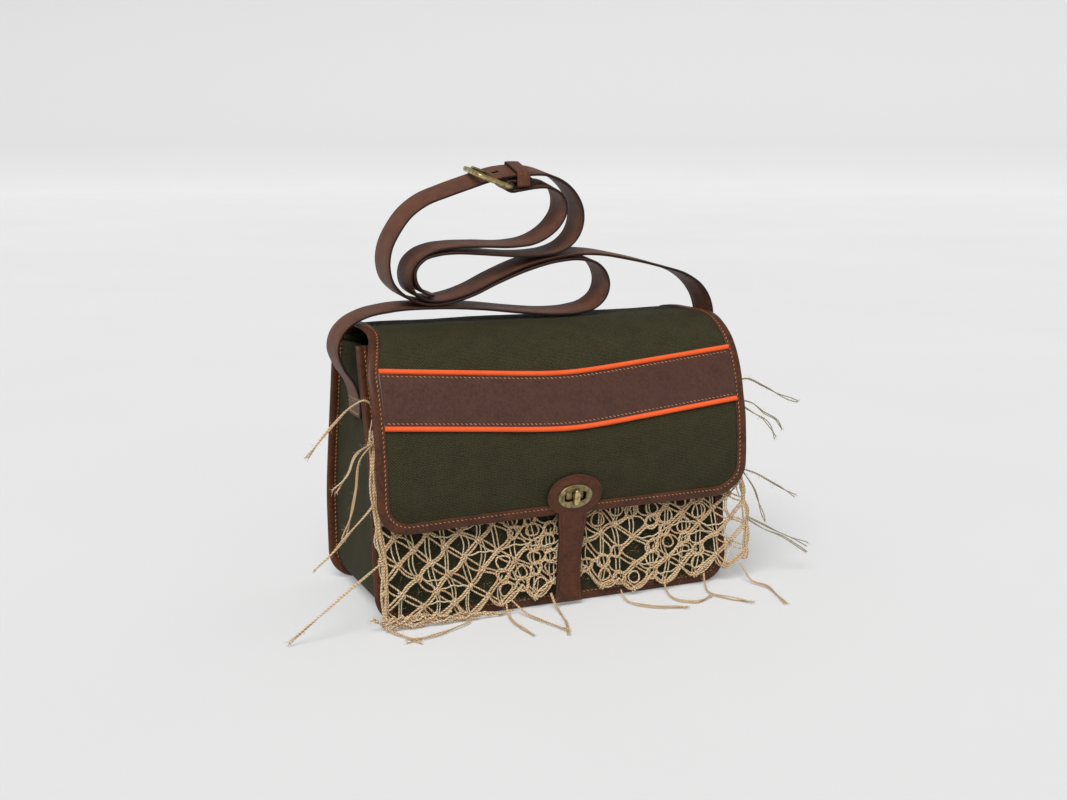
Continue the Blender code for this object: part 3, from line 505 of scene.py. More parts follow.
def bump(material, shader, height, depth_mm, strength=1.0, after=None):
    """Bump of a depth in mm, on top of another."""
    inputs = {"Height": height, "Distance": depth_mm * MM, "Strength": strength}
    if after is not None:
        inputs["Normal"] = after
    made = add(material, "ShaderNodeBump", inputs)
    material.node_tree.links.new(made.outputs["Normal"], shader.inputs["Normal"])
    return made.outputs["Normal"]


def join(material, out, shader, socket):
    """Links a result to one of the shader's sockets."""
    material.node_tree.links.new(out, shader.inputs[socket])


WAVE_PERIOD = 0.31416          # a wave node repeats every 2 pi / 20 of its scaled place


def cloth_finish(name, dark, light, pitch_mm=1.5, depth_mm=0.3):
    """Woven nylon: yarns of a pitch over and under each other, with painted highlights on their crowns and
    painted shade between them, one way of the weave painted brighter than the other as a painted sheen, with
    fine flecks and soft mottling."""
    material, shader = new_finish(name, Roughness=0.78, Specular_IOR_Level=0.12)
    place = cloth_place(material)
    yarns = {"Vector": place, "Scale": WAVE_PERIOD * 1000 / pitch_mm}
    warp, weft = (add(material, "ShaderNodeTexWave", yarns, bands_direction=way).outputs["Fac"]
                  for way in ("X", "Y"))
    over = add(material, "ShaderNodeTexChecker", {"Vector": place, "Scale": 1000 / pitch_mm}).outputs["Fac"]
    crown = add(material, "ShaderNodeMix", {0: over, 2: warp, 3: weft}).outputs[0]
    # Painted highlight and shade follow the yarns' height; yarns lying over are painted brighter as a sheen
    share = math_node(material, "MULTIPLY", crown, scaled(material, over, 0.55, 0.35))
    share = scaled(material, noise(material, place, 2.2, detail=1.0), 0.22, share)
    share = scaled(material, noise(material, object_place(material), 18.0), 0.12, share)
    join(material, blend_colour(material, share, linear(dark), linear(light)), shader, "Base Color")
    bump(material, shader, crown, depth_mm, 0.8)
    return material


GRAIN_MM = 1.0          # pebbles of the leather's grain
# Dark edge paint, also laid into creased grooves as painted shade
EDGE_PAINT_AND_CREASE_SHADE = "#1E120D"


def leather_finish(name, dark, base, light, roughness=0.42, coat=0.12):
    """Finished cowhide: a fine pebbled grain, mottled, with painted edges and painted shade darkening its
    creased grooves, both where the piece says so in its mark `edge`."""
    material, shader = new_finish(name, Coat_Weight=coat, Coat_Roughness=0.35, Specular_IOR_Level=0.24)
    place = object_place(material)
    mottle = noise(material, place, 16.0, detail=4.0)
    fine = noise(material, place, 2.6)
    pebble = add(material, "ShaderNodeTexVoronoi", {"Vector": place, "Scale": 1000 / GRAIN_MM},
                 feature="SMOOTH_F1").outputs["Distance"]
    tone = blend_colour(material, mottle, linear(dark), linear(base))
    tone = blend_colour(material, math_node(material, "MULTIPLY", fine, 0.35), tone, linear(light))
    # The mark `edge` brings the edge paint, and painted shade in the creased grooves
    tone = blend_colour(material, kept_mark(material, "edge"), tone, linear(EDGE_PAINT_AND_CREASE_SHADE))
    join(material, tone, shader, "Base Color")
    rough = spread(material, fine, first=roughness - 0.08, last=roughness + 0.10)
    join(material, rough, shader, "Roughness")
    first = bump(material, shader, pebble, 0.10, 0.35)
    bump(material, shader, mottle, 0.30, 0.25, after=first)
    return material


def twine_finish(name, dark, base, light):
    """Two-ply jute: painted shade where the plies meet, streaked with fibres, each strand its own tone."""
    material, shader = new_finish(name, Roughness=0.88, Specular_IOR_Level=0.2, Sheen_Weight=0.12,
                                  Sheen_Roughness=0.6)
    split = add(material, "ShaderNodeSeparateXYZ", {0: cloth_place(material)})
    # Painted shade: the colour darkens along the groove where the two plies meet, turning with their twist
    lay = math_node(material, "SUBTRACT", math_node(material, "MULTIPLY", split.outputs[0], 4 * math.pi),
                    math_node(material, "MULTIPLY", split.outputs[1], 2 * TWIST))
    crown = spread(material, math_node(material, "COSINE", lay), -1.0, 0.6)
    streak = noise(material, object_place(material), 0.9, detail=2.0)
    tone = blend_colour(material, kept_mark(material, "shade"), linear(base), linear(light))
    tone = blend_colour(material, math_node(material, "MULTIPLY", streak, 0.45), tone, linear(dark))
    join(material, blend_colour(material, crown, linear(dark), tone), shader, "Base Color")
    bump(material, shader, streak, 0.25, 0.7)
    return material


def brass_finish(name, dark, base, roughness=0.34):
    """Aged brass: polished where it is rubbed, browner and duller in clouds."""
    material, shader = new_finish(name, Metallic=1.0)
    place = object_place(material)
    cloud = noise(material, place, 5.0, detail=4.0)
    join(material, blend_colour(material, cloud, linear(dark), linear(base)), shader, "Base Color")
    rough = spread(material, cloud, first=roughness + 0.16, last=roughness - 0.06)
    join(material, rough, shader, "Roughness")
    bump(material, shader, noise(material, place, 0.7, detail=2.0), 0.06, 0.4)
    return material


def thread_finish(name, dark, light):
    """Waxed sewing thread, its tone changing from stitch to stitch."""
    material, shader = new_finish(name, Roughness=0.6, Sheen_Weight=0.2)
    fibre = noise(material, object_place(material), 0.6, detail=2.0)
    share = scaled(material, kept_mark(material, "shade"), 0.6, math_node(material, "MULTIPLY", fibre, 0.4))
    join(material, blend_colour(material, share, linear(dark), linear(light)), shader, "Base Color")
    bump(material, shader, fibre, 0.1, 0.5)
    return material


TWIST = 2 * math.pi / 0.0062      # radians a metre that the two plies turn
olive = cloth_finish("olive_nylon", "#18160F", "#45422B")
edging = leather_finish("russet_edging_leather", "#30160A", "#48230F", "#683919", roughness=0.50)
band_leather = leather_finish("brown_band_leather", "#3B221A", "#43281F", "#5A392B", 0.38, coat=0.25)
strap_leather = leather_finish("brown_strap_leather", "#422216", "#593523", "#754A33", 0.55, coat=0.03)
piping_cloth = cloth_finish("orange_piping_cloth", "#D9481C", "#FF7440", pitch_mm=0.7, depth_mm=0.1)
jute = twine_finish("jute_twine", "#926F49", "#D5B58C", "#EDDAB6")
jute_pale = twine_finish("pale_jute_twine", "#A08C68", "#DCC7A0", "#F3E6CB")
jute_grey = twine_finish("weathered_jute_twine", "#6B6350", "#A29678", "#C6BA9C")
brass = brass_finish("aged_brass", "#6A5C3C", "#A89970")
bright_brass = brass_finish("rubbed_brass", "#8C7B4E", "#CDBB86", roughness=0.28)
lock_brass = brass_finish("dulled_brass", "#74663F", "#AE9D6C", roughness=0.32)
tan_thread = thread_finish("tan_thread", "#7E5631", "#B98E60")


# Body

HALF = BODY_WIDTH / 2


def seam(rows, up):
    """Depth of a seam at a height."""
    return smooth(rows, up)[..., 0]


def body_grid(rows, columns, inside, depth):
    """Panel inside its taped seam, at depth(x, up)."""
    v, u = even_shares(rows, columns)
    x, up = panel_place(u, v, HALF - inside, inside, BODY_HEIGHT, BODY_CORNER - inside)
    points = np.stack([x, depth(x, up), up], -1)
    return points, np.stack([x, up], -1)


def front_depth(x, up):
    """The seam's depth less a bulge that falls to nothing at the tape."""
    reach = np.clip(np.abs(x) / (HALF - SEAM_TAPE), 0, 1)
    return (seam(FRONT_SEAM, up) - smooth(FRONT_BULGE, up)[..., 0] * (1 - reach**2.5)
            + 0.0007 * ripple(x, up, 0.11, 3))


def back_depth(x, up):
    """The seam's depth with a slight hollow in the middle."""
    reach = np.clip(np.abs(x) / (HALF - SEAM_TAPE), 0, 1)
    return seam(BACK_SEAM, up) + 0.0010 * (1 - reach**2) * ripple(x, up, 0.16, 5)


UNDER_TAPE = 0.0015         # the cloth reaches this far under the tape
points, uv = body_grid(64, 84, SEAM_TAPE - UNDER_TAPE, front_depth)
front_cloth = wall(build("front_cloth", points, uv, flip=True), CLOTH)
dress(front_cloth, olive, "olive_cloth", "front_panel")
points, uv = body_grid(64, 84, SEAM_TAPE - UNDER_TAPE, back_depth)
back_cloth = wall(build("back_cloth", points, uv), CLOTH)
dress(back_cloth, olive, "olive_cloth", "back_panel")

gusset_outline = (HALF - FLANGE - CLOTH / 2, CLOTH / 2, BODY_HEIGHT - 0.006, BODY_CORNER - CLOTH / 2)
gusset_length = u_length(*gusset_outline)
t, across = even_shares(260, 26)
x, up = u_place(t, *gusset_outline)
near, far = seam(FRONT_SEAM, up) + 0.0010, seam(BACK_SEAM, up) - 0.0010
# How far the gusset's middle sags inwards, and how much more of that the mouth has
SAG, SAG_AT_MOUTH = 0.0012, 0.0110
sag = (SAG + SAG_AT_MOUTH * (up / BODY_HEIGHT)**4) * np.clip((up - 0.02) / 0.05, 0, 1)
sag = sag * np.sin(math.pi * across)**0.8
sag = sag + 0.0006 * ripple(up, across * 0.16, 0.08, 8) * np.clip((up - 0.01) / 0.05, 0, 1)
points = np.stack([x - np.sign(x) * sag, near + (far - near) * across, up], -1)
uv = np.stack([near + (far - near) * across, t * gusset_length], -1)
gusset_cloth = wall(build("gusset_cloth", points, uv), CLOTH)
dress(gusset_cloth, olive, "olive_cloth", "gusset")

# Section of the tape folded over a seam, from its front inner edge round the fold: inset, depth
TAPE_SECTION = np.array(((11.0, -1.5), (10.6, -2.2), (9.4, -2.4), (8.2, -2.0), (7.0, -2.4), (4.5, -2.5),
                         (2.0, -2.4), (0.7, -1.7), (0.0, 0.0), (0.7, 1.7), (2.0, 2.4), (4.5, 2.5),
                         (7.0, 2.4), (8.2, 2.0), (9.4, 2.4), (10.6, 2.2), (11.0, 1.5))) * MM
TAPE_STITCH, FLAP_STITCH = 0.0082, 0.0083          # the stitches' distances inside the tapes' outer edges
for name, rows, node_name, seed in (("front_edging", FRONT_SEAM, "front_binding", 21),
                                    ("back_edging", BACK_SEAM, "back_binding", 22)):
    outline = (HALF, 0.0003, BODY_HEIGHT, BODY_CORNER)
    t, ring = np.meshgrid(np.linspace(0, 1, 300), np.arange(len(TAPE_SECTION)), indexing="ij")
    inset, deep = TAPE_SECTION[ring, 0], TAPE_SECTION[ring, 1]
    x, up = u_place(t, *outline, inset)
    deep = deep * (1 + 0.06 * ripple(t * u_length(*outline), inset, 0.03, seed))
    points = capped(np.stack([x, seam(rows, up) + deep, up], -1))
    dress(closed_grid(name, points, u_length(*outline), 0.03), edging, "edging_leather", node_name)
    for face in (-1, 1):
        line = np.linspace(0.004, 0.996, 400)
        x, up = u_place(line, *outline, TAPE_STITCH)
        path = np.stack([x, seam(rows, up) + face * 0.0021, up], -1)
        out = np.tile((0.0, float(face), 0.0), (len(path), 1))
        stitches(f"{name}_stitches_{'front' if face < 0 else 'back'}", path, out, "edging_leather")

# Flap

FLAP_HALF = FLAP_WIDTH / 2
inside = FLAP_TAPE - 0.0020
v, u = even_shares(190, 110)
x, run = panel_place(u, v, FLAP_HALF - inside, inside, FLAP_LENGTH, FLAP_CORNER - inside)
uv = np.stack([x, run], -1)
edge_share = np.clip((FLAP_HALF - FLAP_TAPE - np.abs(x)) / 0.02, 0, 1)
x = x + np.abs(x) / (FLAP_HALF - inside) * inward(x, run)
lift = 0.0005 * ripple(x, run, 0.12, 31) * edge_share
flap_cloth = build("flap_cloth", flap_point(x, run, lift), uv, flip=True)
dress(wall(flap_cloth, CLOTH), olive, "olive_cloth", "flap")

# Section of the tape folded over the flap's edge, from its outer inner edge round the fold: inset, lift
FLAP_SECTION = np.array(((11.3, 1.0), (11.2, 1.7), (10.6, 2.2), (9.5, 2.3), (8.3, 1.9), (7.2, 2.3),
                         (5.0, 2.4), (2.4, 2.3), (0.8, 1.8), (0.1, 0.9), (0.0, 0.5), (0.1, 0.0), (0.8, -0.8),
                         (2.4, -1.2), (6.0, -1.3), (9.5, -1.3), (10.9, -1.2), (11.3, -0.7))) * MM
flap_outline = (FLAP_HALF, 0.0, FLAP_LENGTH, FLAP_CORNER)


def flap_edge(t, inset, lift):
    """Point on the flap at a share of its edge's outline, inside it by inset and above it by lift."""
    x, run = u_place(t, *flap_outline, inset)
    return flap_point(x + inward(x, run), run, lift)


t, ring = np.meshgrid(np.linspace(0, 1, 420), np.arange(len(FLAP_SECTION)), indexing="ij")
inset, lift = FLAP_SECTION[ring, 0], FLAP_SECTION[ring, 1]
lift = lift + 0.00012 * ripple(t * u_length(*flap_outline), inset, 0.02, 33)
tape = closed_grid("flap_edging", capped(flap_edge(t, inset, lift)), u_length(*flap_outline), 0.026)
dress(tape, edging, "edging_leather", "flap_binding")

line = np.linspace(0.002, 0.998, 900)
path = flap_edge(line, FLAP_STITCH, 0.0020)
stitches("flap_edging_stitches", path, unit(flap_edge(line, FLAP_STITCH, 0.0040) - path), "edging_leather")
back_run = np.full(200, FLAP_LENGTH - 0.006)
back_x = np.linspace(-1, 1, 200) * (FLAP_TOP_WIDTH / 2 - FLAP_TAPE - 0.002)
path = flap_point(back_x, back_run, CLOTH / 2 + 0.0001)
stitches("flap_back_stitches", path, unit(flap_point(back_x, back_run, 0.003) - path), "olive_cloth")

# Band and piping


def band_line(x, height):
    """Distance up the flap to one edge of the band: a soft V whose middle lies lower than its ends."""
    rise = (np.hypot(x, BAND_BEND) - BAND_BEND) / (math.hypot(HALF, BAND_BEND) - BAND_BEND)
    return flap_run_at(height) + BAND_DIP * rise


BAND_HALF = FLAP_HALF - FLAP_TAPE + 0.0010
BAND_INSET = 0.0012         # from the piping's middle line to the band's edge under it
# Creased line along the band: how far inside its edges, how wide and how deep
CREASE_AT, CREASE_WIDTH, CREASE_DEPTH = 0.0034, 0.0009, 0.0004
v, u = even_shares(40, 260, -1)
low, high = band_line(u * BAND_HALF, BAND_LOW) + BAND_INSET, band_line(u * BAND_HALF, BAND_HIGH) - BAND_INSET
run = low + (high - low) * v
x = u * BAND_HALF + np.abs(u) * inward(u, run)
from_edge = np.minimum(run - low, high - run)
lift = CLOTH / 2 + 0.0010 + 0.0004 * np.clip(from_edge / 0.012, 0, 1)
lift = lift - CREASE_DEPTH * np.exp(-((from_edge - CREASE_AT) / CREASE_WIDTH)**2)
lift = lift + 0.0003 * ripple(x, run, 0.05, 41)
band = build("band_leather", flap_point(x, run, lift), np.stack([x, run], -1), flip=True)
dress(wall(band, 0.0012), band_leather, "band_leather", "flap_band")


def beside_band(height, aside, inside, lift, count):
    """Line on the flap along one edge of the band: up from it by aside, and inside its ends."""
    x = np.linspace(-1, 1, count) * (BAND_HALF - inside)
    run = band_line(x, height) + aside
    return flap_point(x + np.abs(x) / BAND_HALF * inward(x, run), run, lift)


for place, height, aside in (("low", BAND_LOW, 0.0046), ("high", BAND_HIGH, -0.0046)):
    path, above = (beside_band(height, aside, 0.003, lift, 400) for lift in (CLOTH / 2 + 0.0017, 0.006))
    stitches(f"band_stitches_{place}", path, unit(above - path), "band_leather")
for name, height, node_name in (("piping_low", BAND_LOW, "piping_lower"),
                                ("piping_high", BAND_HIGH, "piping_upper")):
    path = beside_band(height, 0.0, 0.0005, CLOTH / 2 + PIPING_RADIUS, 260)
    piping = tubes(name, path[None], PIPING_RADIUS + 0.0004, sides=16)
    dress(piping, piping_cloth, "orange_piping", node_name)

# Closing strap

HEAD_LOW, HEAD_TOP = LOCK_HEIGHT - HEAD_HEIGHT / 2 + 0.003, LOCK_HEIGHT + HEAD_HEIGHT / 2
CLOSURE_LIFT = (FLAP_TAPE_DEPTH - CLOTH) / 2 + FLAP_TAPE_DEPTH / 2 + 0.0003 + CLOSURE_DEPTH / 2
over_runs = np.linspace(flap_run_at(0.0985), flap_run_at(HEAD_TOP - 0.0002), 9)
over_flap = flap_point(np.full(9, LOCK_X), over_runs, CLOSURE_LIFT)[:, 1:]
CLOSURE_SPINE = with_run(np.vstack([np.array(CLOSURE_RISE), over_flap]))


def closure_half(up):
    """Half width of the closing strap at a height: a flared neck below a round-ended oval head."""
    neck = smooth(CLOSURE_NECK, up)[..., 0]
    f = np.clip((up - LOCK_HEIGHT) / (HEAD_HEIGHT / 2), -1, 1)
    head = HEAD_WIDTH / 2 * np.sqrt(np.clip(1 - f * f, 0.0009, 1))
    return np.where(up > HEAD_LOW, np.maximum(head, np.where(up < LOCK_HEIGHT, neck, 0)), neck)


def closure_point(across, run, lift):
    """Point on the closing strap: across it, along its middle line, and above it."""
    here, ahead = smooth(CLOSURE_SPINE, run), heading(CLOSURE_SPINE, run)
    return np.stack([LOCK_X + across, here[..., 0] - ahead[..., 1] * lift,
                     here[..., 1] + ahead[..., 0] * lift], -1)


spine_total = CLOSURE_SPINE[-1, 0]
neck_runs = np.linspace(0, spine_total - HEAD_HEIGHT / 2, 110)
head_runs = spine_total - HEAD_HEIGHT / 2 * (1 - np.sin(np.linspace(0, math.pi / 2, 40)[1:]))
runs = np.concatenate([neck_runs, head_runs])
even = np.linspace(-1, 1, 61)
run, share = np.meshgrid(runs, 0.55 * np.sin(even * math.pi / 2) + 0.45 * even, indexing="ij")
half = closure_half(smooth(CLOSURE_SPINE, run)[..., 1])
across = share * half
sides = [np.stack([closure_half(smooth(CLOSURE_SPINE, runs)[:, 1]) * sign, runs], -1) for sign in (-1, 1)]
rim = np.concatenate(sides + [np.stack([np.linspace(-1, 1, 30) * half[0, -1], np.zeros(30)], -1)])
from_edge = np.sqrt(((across[..., None] - rim[:, 0])**2 + (run[..., None] - rim[:, 1])**2).min(-1))
groove = np.exp(-((from_edge - 0.0030) / 0.0007)**2)
top_lift = -0.0004 * groove + 0.0003 * np.clip((from_edge - 0.004) / 0.004, 0, 1)
# Edge paint along the rim, and painted shade in the groove 3 mm inside it
painted = np.clip(1 - from_edge / 0.0006, 0, 1) + 0.30 * groove
closure = build("closure_leather", closure_point(across, run, top_lift), np.stack([across, run], -1),
                flip=True, marks={"edge": painted[None]})
# The lock's slot, cut out of the leather under the plate
SLOT_HALF_LONG, SLOT_HALF_HIGH = 0.0118, 0.0060
shape = bmesh.new()
shape.from_mesh(closure.data)
holes = [face for face in shape.faces if abs(face.calc_center_median().x - LOCK_X) < SLOT_HALF_LONG
         and abs(face.calc_center_median().z - LOCK_HEIGHT) < SLOT_HALF_HIGH]
bmesh.ops.delete(shape, geom=holes, context="FACES")
shape.to_mesh(closure.data)
shape.free()
dress(wall(closure, CLOSURE_DEPTH), edging, "edging_leather", "closure_strap")

# Turn lock. Its axes: X to the right, Y up the flap, Z out of it


def lock_place(points):
    """Places in the lock's own axes, moved to the bag."""
    run = flap_run_at(LOCK_HEIGHT)
    here = flap_point(np.float64(LOCK_X), run, 0.0)
    up = unit(flap_point(np.float64(LOCK_X), run + 0.002, 0.0) - here)
    right = np.array((1.0, 0.0, 0.0))
    return here + points[..., :1] * right + points[..., 1:2] * up + points[..., 2:] * np.cross(right, up)


def rounded(half_long, half_short, angle, power=2.0):
    """Outline |x/a|^n + |y/b|^n = 1 at angles."""
    c, s = np.cos(angle), np.sin(angle)
    return np.stack([half_long * np.sign(c) * np.abs(c)**(2 / power),
                     half_short * np.sign(s) * np.abs(s)**(2 / power)], -1)


def raised(flat, height):
    """Flat places in the lock's axes at their heights, moved to the bag."""
    return lock_place(np.concatenate([flat, np.broadcast_to(height, flat.shape[:2] + (1,))], -1))


def ring_plate(name, inner, outer, section, material, slot, node_name, inner_power=2.0):
    """Plate round a hole: places blend from the hole's outline to the outer one by the section's first
    column, and stand at the height in its second."""
    angle = circle(96)
    inside = rounded(*inner, angle, inner_power)
    outside = rounded(*outer, angle)
    share, height = section[:, 0], section[:, 1]
    flat = inside[:, None] * (1 - share[:, None]) + outside[:, None] * share[:, None]
    plate = closed_grid(name, raised(flat, height[None, :, None]), 0.09, 0.02, wrap_rows=True)
    return dress(plate, material, slot, node_name)


plate_low = CLOSURE_LIFT + CLOSURE_DEPTH / 2 + 0.0003
plate_section = np.array(((0.00, 0.1), (0.00, 0.9), (0.03, 1.2), (0.09, 1.25), (0.13, 1.0), (0.20, 0.95),
                          (0.60, 0.95), (0.76, 0.9), (0.86, 1.25), (0.95, 1.1), (1.00, 0.6), (1.00, 0.0),
                          (0.50, 0.0)))
plate_section = plate_section * (1, MM) + (0, plate_low)
ring_plate("lock_plate", EYELET_HOLE, EYELET[:2], plate_section, brass, "aged_brass", "eyelet_plate",
           inner_power=5.0)


def dome(name, half_long, half_short, rows, power=2.0):
    """Grid of stacked outlines: each row of (share of the size, height) scales |x/a|^n + |y/b|^n = 1."""
    rows = np.asarray(rows, float)
    flat = rounded(half_long, half_short, circle(64), power)[None] * rows[:, :1, None]
    return closed_grid(name, raised(flat, rows[:, 1:, None]), 0.02, 0.05)


base_low = CLOTH / 2 + 0.0003
base_rows = ((0.0, 0.0), (1.0, 0.0), (1.0, 0.7 * MM), (0.84, 1.1 * MM), (0.83, 3.0 * MM), (0.79, 3.4 * MM),
             (0.0, 3.4 * MM))
base_rows = [(share, height + base_low) for share, height in base_rows]
dress(dome("lock_base", *TURN_BASE[:2], base_rows, power=5.0), lock_brass, "aged_brass", "turn_base")
knob_low = plate_low + 0.0013
knob_top = plate_low + EYELET[2] + 0.0003 + KNOB[2]
knob_high = knob_top - knob_low
knob_rows = ((0.0, 0.0), (0.80, 0.0), (0.93, 0.3 * MM), (1.0, 1.0 * MM), (1.0, knob_high - 1.5 * MM),
             (0.95, knob_high - 0.7 * MM), (0.84, knob_high - 0.2 * MM), (0.6, knob_high), (0.0, knob_high))
knob_rows = [(share, height + knob_low) for share, height in knob_rows]
post_low, post_high = base_low + 0.0015, knob_low + 0.001
post_rows = [(0.0, post_low), (1.0, post_low), (1.0, post_high), (0.0, post_high)]
knob = dome("turn_knob", KNOB[1], KNOB[0], knob_rows, power=2.8)
dress(knob, bright_brass, "aged_brass", "turn_button", body="turn_button")
dress(dome("turn_post", POST_RADIUS, POST_RADIUS, post_rows), brass, "aged_brass", body="turn_button")

# Shoulder strap


def tipped(lift, shift):
    """Direction of the strap's width, to the back, from its back edge's lift and shift over the width."""
    rise, aside = np.asarray(lift) / STRAP_WIDTH, -np.asarray(shift) / STRAP_WIDTH
    return np.stack([aside, np.sqrt(1 - rise**2 - aside**2), rise], axis=-1)


def strap_route(rows, step=0.0025):
    """Middle, width direction and outward direction along the strap, at even steps."""
    rows = np.array(rows, float) * MM
    run = with_run(rows[:, :2])[:, 0]
    at = np.linspace(0, run[-1], int(run[-1] / step))
    here = smooth(np.column_stack([run, rows]), at)
    centre = np.column_stack([here[:, 0], np.zeros(len(at)), here[:, 1]])
    wide = tipped(here[:, 2], here[:, 3])
    out = unit(np.cross(wide, unit(np.gradient(centre, axis=0))))
    return at, centre, wide, out


# Upper half of the strap's section, in mm: inset from the side, outward, share of dark edge paint, which at
# the creased groove 3 mm in is painted shade
STRAP_SIDE = ((0.0, 0.0, 1.0), (0.1, 0.7, 1.0), (0.6, 1.15, 0.5), (1.2, 1.28, 0.1), (2.6, 1.26, 0.0),
              (3.0, 1.04, 0.5), (3.4, 1.26, 0.0), (8.0, 1.31, 0.0))


def strap_pieces(name, rows, slots=(), tip=0.0):
    """Strap along its route with a painted edge and a creased line on both faces. slots are (middle, half
    length, half width) of holes along it, and tip the length of its rounded end."""
    slots = [(middle - reach, middle + reach, half_gap) for middle, reach, half_gap in slots]
    at, centre, wide, out = strap_route(rows)
    half = STRAP_WIDTH / 2
    side = np.array(STRAP_SIDE) * (MM, MM, 1) - (half, 0, 0)
    top = np.vstack([side, (0, 0.00134, 0), side[::-1] * (-1, 1, 1)])
    ring = np.vstack([top, top[-2:0:-1] * (1, -1, 1)])
    cuts = [0.0] + [value for slot in slots for value in slot[:2]] + [at[-1]]
    squeeze = np.ones(len(at))
    if tip:
        squeeze = np.sqrt(np.clip(1 - (1 - np.clip((at[-1] - at) / tip, 0, 1))**2, 0.02, 1))
    made = []
    for number in range(len(cuts) - 1):
        first, last = np.searchsorted(at, cuts[number]), np.searchsorted(at, cuts[number + 1])
        here = slice(first, min(last, len(at) - 1) + 1)
        spans = [(-half, half)]
        if number % 2:
            gap = slots[number // 2][2]
            spans = [(-half, -gap), (gap, half)]
        for low, high in spans:
            across = low + (ring[:, 0] + half) / (2 * half) * (high - low)
            aside = (across[None] * squeeze[here][:, None])[..., None] * wide[here][:, None]
            points = capped(centre[here][:, None] + aside + ring[:, 1][None, :, None] * out[here][:, None])
            marks = {"edge": np.broadcast_to(ring[:, 2], points.shape[:2])}
            made.append(closed_grid(f"{name}_{len(made)}", points, at[here][-1] - at[here][0], 0.080, marks))
    return join_meshes(name, made)


def join_meshes(name, parts):
    """One object from several, at the origin."""
    if len(parts) > 1:
        with bpy.context.temp_override(active_object=parts[0], selected_editable_objects=parts,
                                       object=parts[0], selected_objects=parts):
            bpy.ops.object.join()
    parts[0].name = name
    return parts[0]


def run_near(rows, x, z):
    """Distance along a strap's route to its place nearest x and z, in mm."""
    at, centre, _, _ = strap_route(rows, 0.0005)
    return at[np.hypot(centre[:, 0] - x * MM, centre[:, 2] - z * MM).argmin()]


hole_at = run_near(STRAP_LONG, -38.5, 418.6)
strap_long = strap_pieces("strap_long_leather", STRAP_LONG, ((hole_at, 0.0065, 0.0022),), tip=0.012)
dress(strap_long, strap_leather, "strap_leather", "strap_long")
fold_at = run_near(STRAP_SHORT, -29.4, 408.8)
strap_short = strap_pieces("strap_short_leather", STRAP_SHORT, ((fold_at, 0.009, 0.0028),))
dress(strap_short, strap_leather, "strap_leather", "strap_short")


def end_stitches(name, rows):
    """Rectangle of stitches on the outer face of a strap's first end, sewn to the gusset."""
    at, centre, wide, out = strap_route(rows, 0.0005)
    out = out * np.sign(out[0, 0] * rows[0][0])
    corners = with_run(np.array(((-15, 3), (15, 3), (15, 17), (-15, 17), (-15, 3))) * MM)
    line = np.linspace(0, corners[-1, 0], 400)
    across, run = (np.interp(line, corners[:, 0], corners[:, k]) for k in (1, 2))
    middle, side, up = (smooth(np.column_stack([at, value]), run) for value in (centre, wide, out))
    stitches(name, middle + across[:, None] * side + 0.0013 * up, up, "strap_leather", pitch=0.0040)


end_stitches("strap_long_stitches", STRAP_LONG)
end_stitches("strap_short_stitches", STRAP_SHORT)


def buckle_place(points):
    """Places in the buckle's axes, X along the bar, Y to the free end and Z out, moved to the strap."""
    rise = math.radians(BUCKLE_RISE)
    along = tipped(BUCKLE_TIP[0] * MM, BUCKLE_TIP[1] * MM)
    out = unit(np.cross(along, (-math.cos(rise), 0.0, math.sin(rise))))
    ahead = np.cross(out, along)
    middle = np.array((BUCKLE_BAR[0] * MM, 0.0, BUCKLE_BAR[1] * MM))
    return middle + points[..., :1] * along + points[..., 1:2] * ahead + points[..., 2:] * out


# Half sizes of the frame's wire: across and out, and both of them at the bar
WIRE_WIDE, WIRE_TALL, WIRE_AT_BAR = 0.0028, 0.0025, 0.0022
ring = rounded(BUCKLE_WIDTH / 2, BUCKLE_LENGTH / 2, circle(160), 9.0) + (0.0, BUCKLE_LENGTH / 2)
loop = np.column_stack([ring, np.zeros(len(ring))])
ahead = unit(np.roll(loop, -1, 0) - np.roll(loop, 1, 0))
outward = np.cross(ahead, (0.0, 0.0, 1.0))
at_bar = np.clip(1 - loop[:, 1] / 0.006, 0, 1)[:, None]
flat_ring = rounded(1.0, 1.0, circle(16), 2.7)
wide_half = WIRE_WIDE * (1 - at_bar) + WIRE_AT_BAR * at_bar
tall_half = WIRE_TALL * (1 - at_bar) + WIRE_AT_BAR * at_bar
points = (loop[:, None] + (wide_half * flat_ring[:, 0])[..., None] * outward[:, None]
          + (tall_half * flat_ring[:, 1])[..., None] * np.array((0.0, 0.0, 1.0)))
buckle = closed_grid("buckle_frame_brass", buckle_place(points), 0.17, 0.014, wrap_rows=True)
dress(buckle, bright_brass, "aged_brass", "buckle_frame")

hook = BUCKLE_WIRE + 0.0003 + PRONG_WIRE
turns = np.radians(np.linspace(-160, 90, 26))
path = np.column_stack([np.zeros(26), hook * -np.cos(turns), hook * np.sin(turns)])
ahead = np.linspace(0.0, BUCKLE_LENGTH * 1.06, 25)[1:]
straight = np.column_stack([np.zeros(24), ahead, np.full(24, hook)])
prong = tubes("buckle_prong_brass", buckle_place(np.vstack([path, straight]))[None], PRONG_WIRE, sides=12,
              taper_ends=0.002)
dress(prong, brass, "aged_brass", "buckle_prong")

half_wide = STRAP_WIDTH / 2 + 0.0012 + KEEPER_WALL / 2
low, high = KEEPER_LOW * MM - KEEPER_WALL / 2, KEEPER_HIGH * MM + KEEPER_WALL / 2
half_size = np.array((half_wide, (high - low) / 2))
round_loop = rounded(*half_size, circle(96), 9.0)
normal = unit(np.sign(round_loop) * np.abs(round_loop / half_size)**8 / half_size)
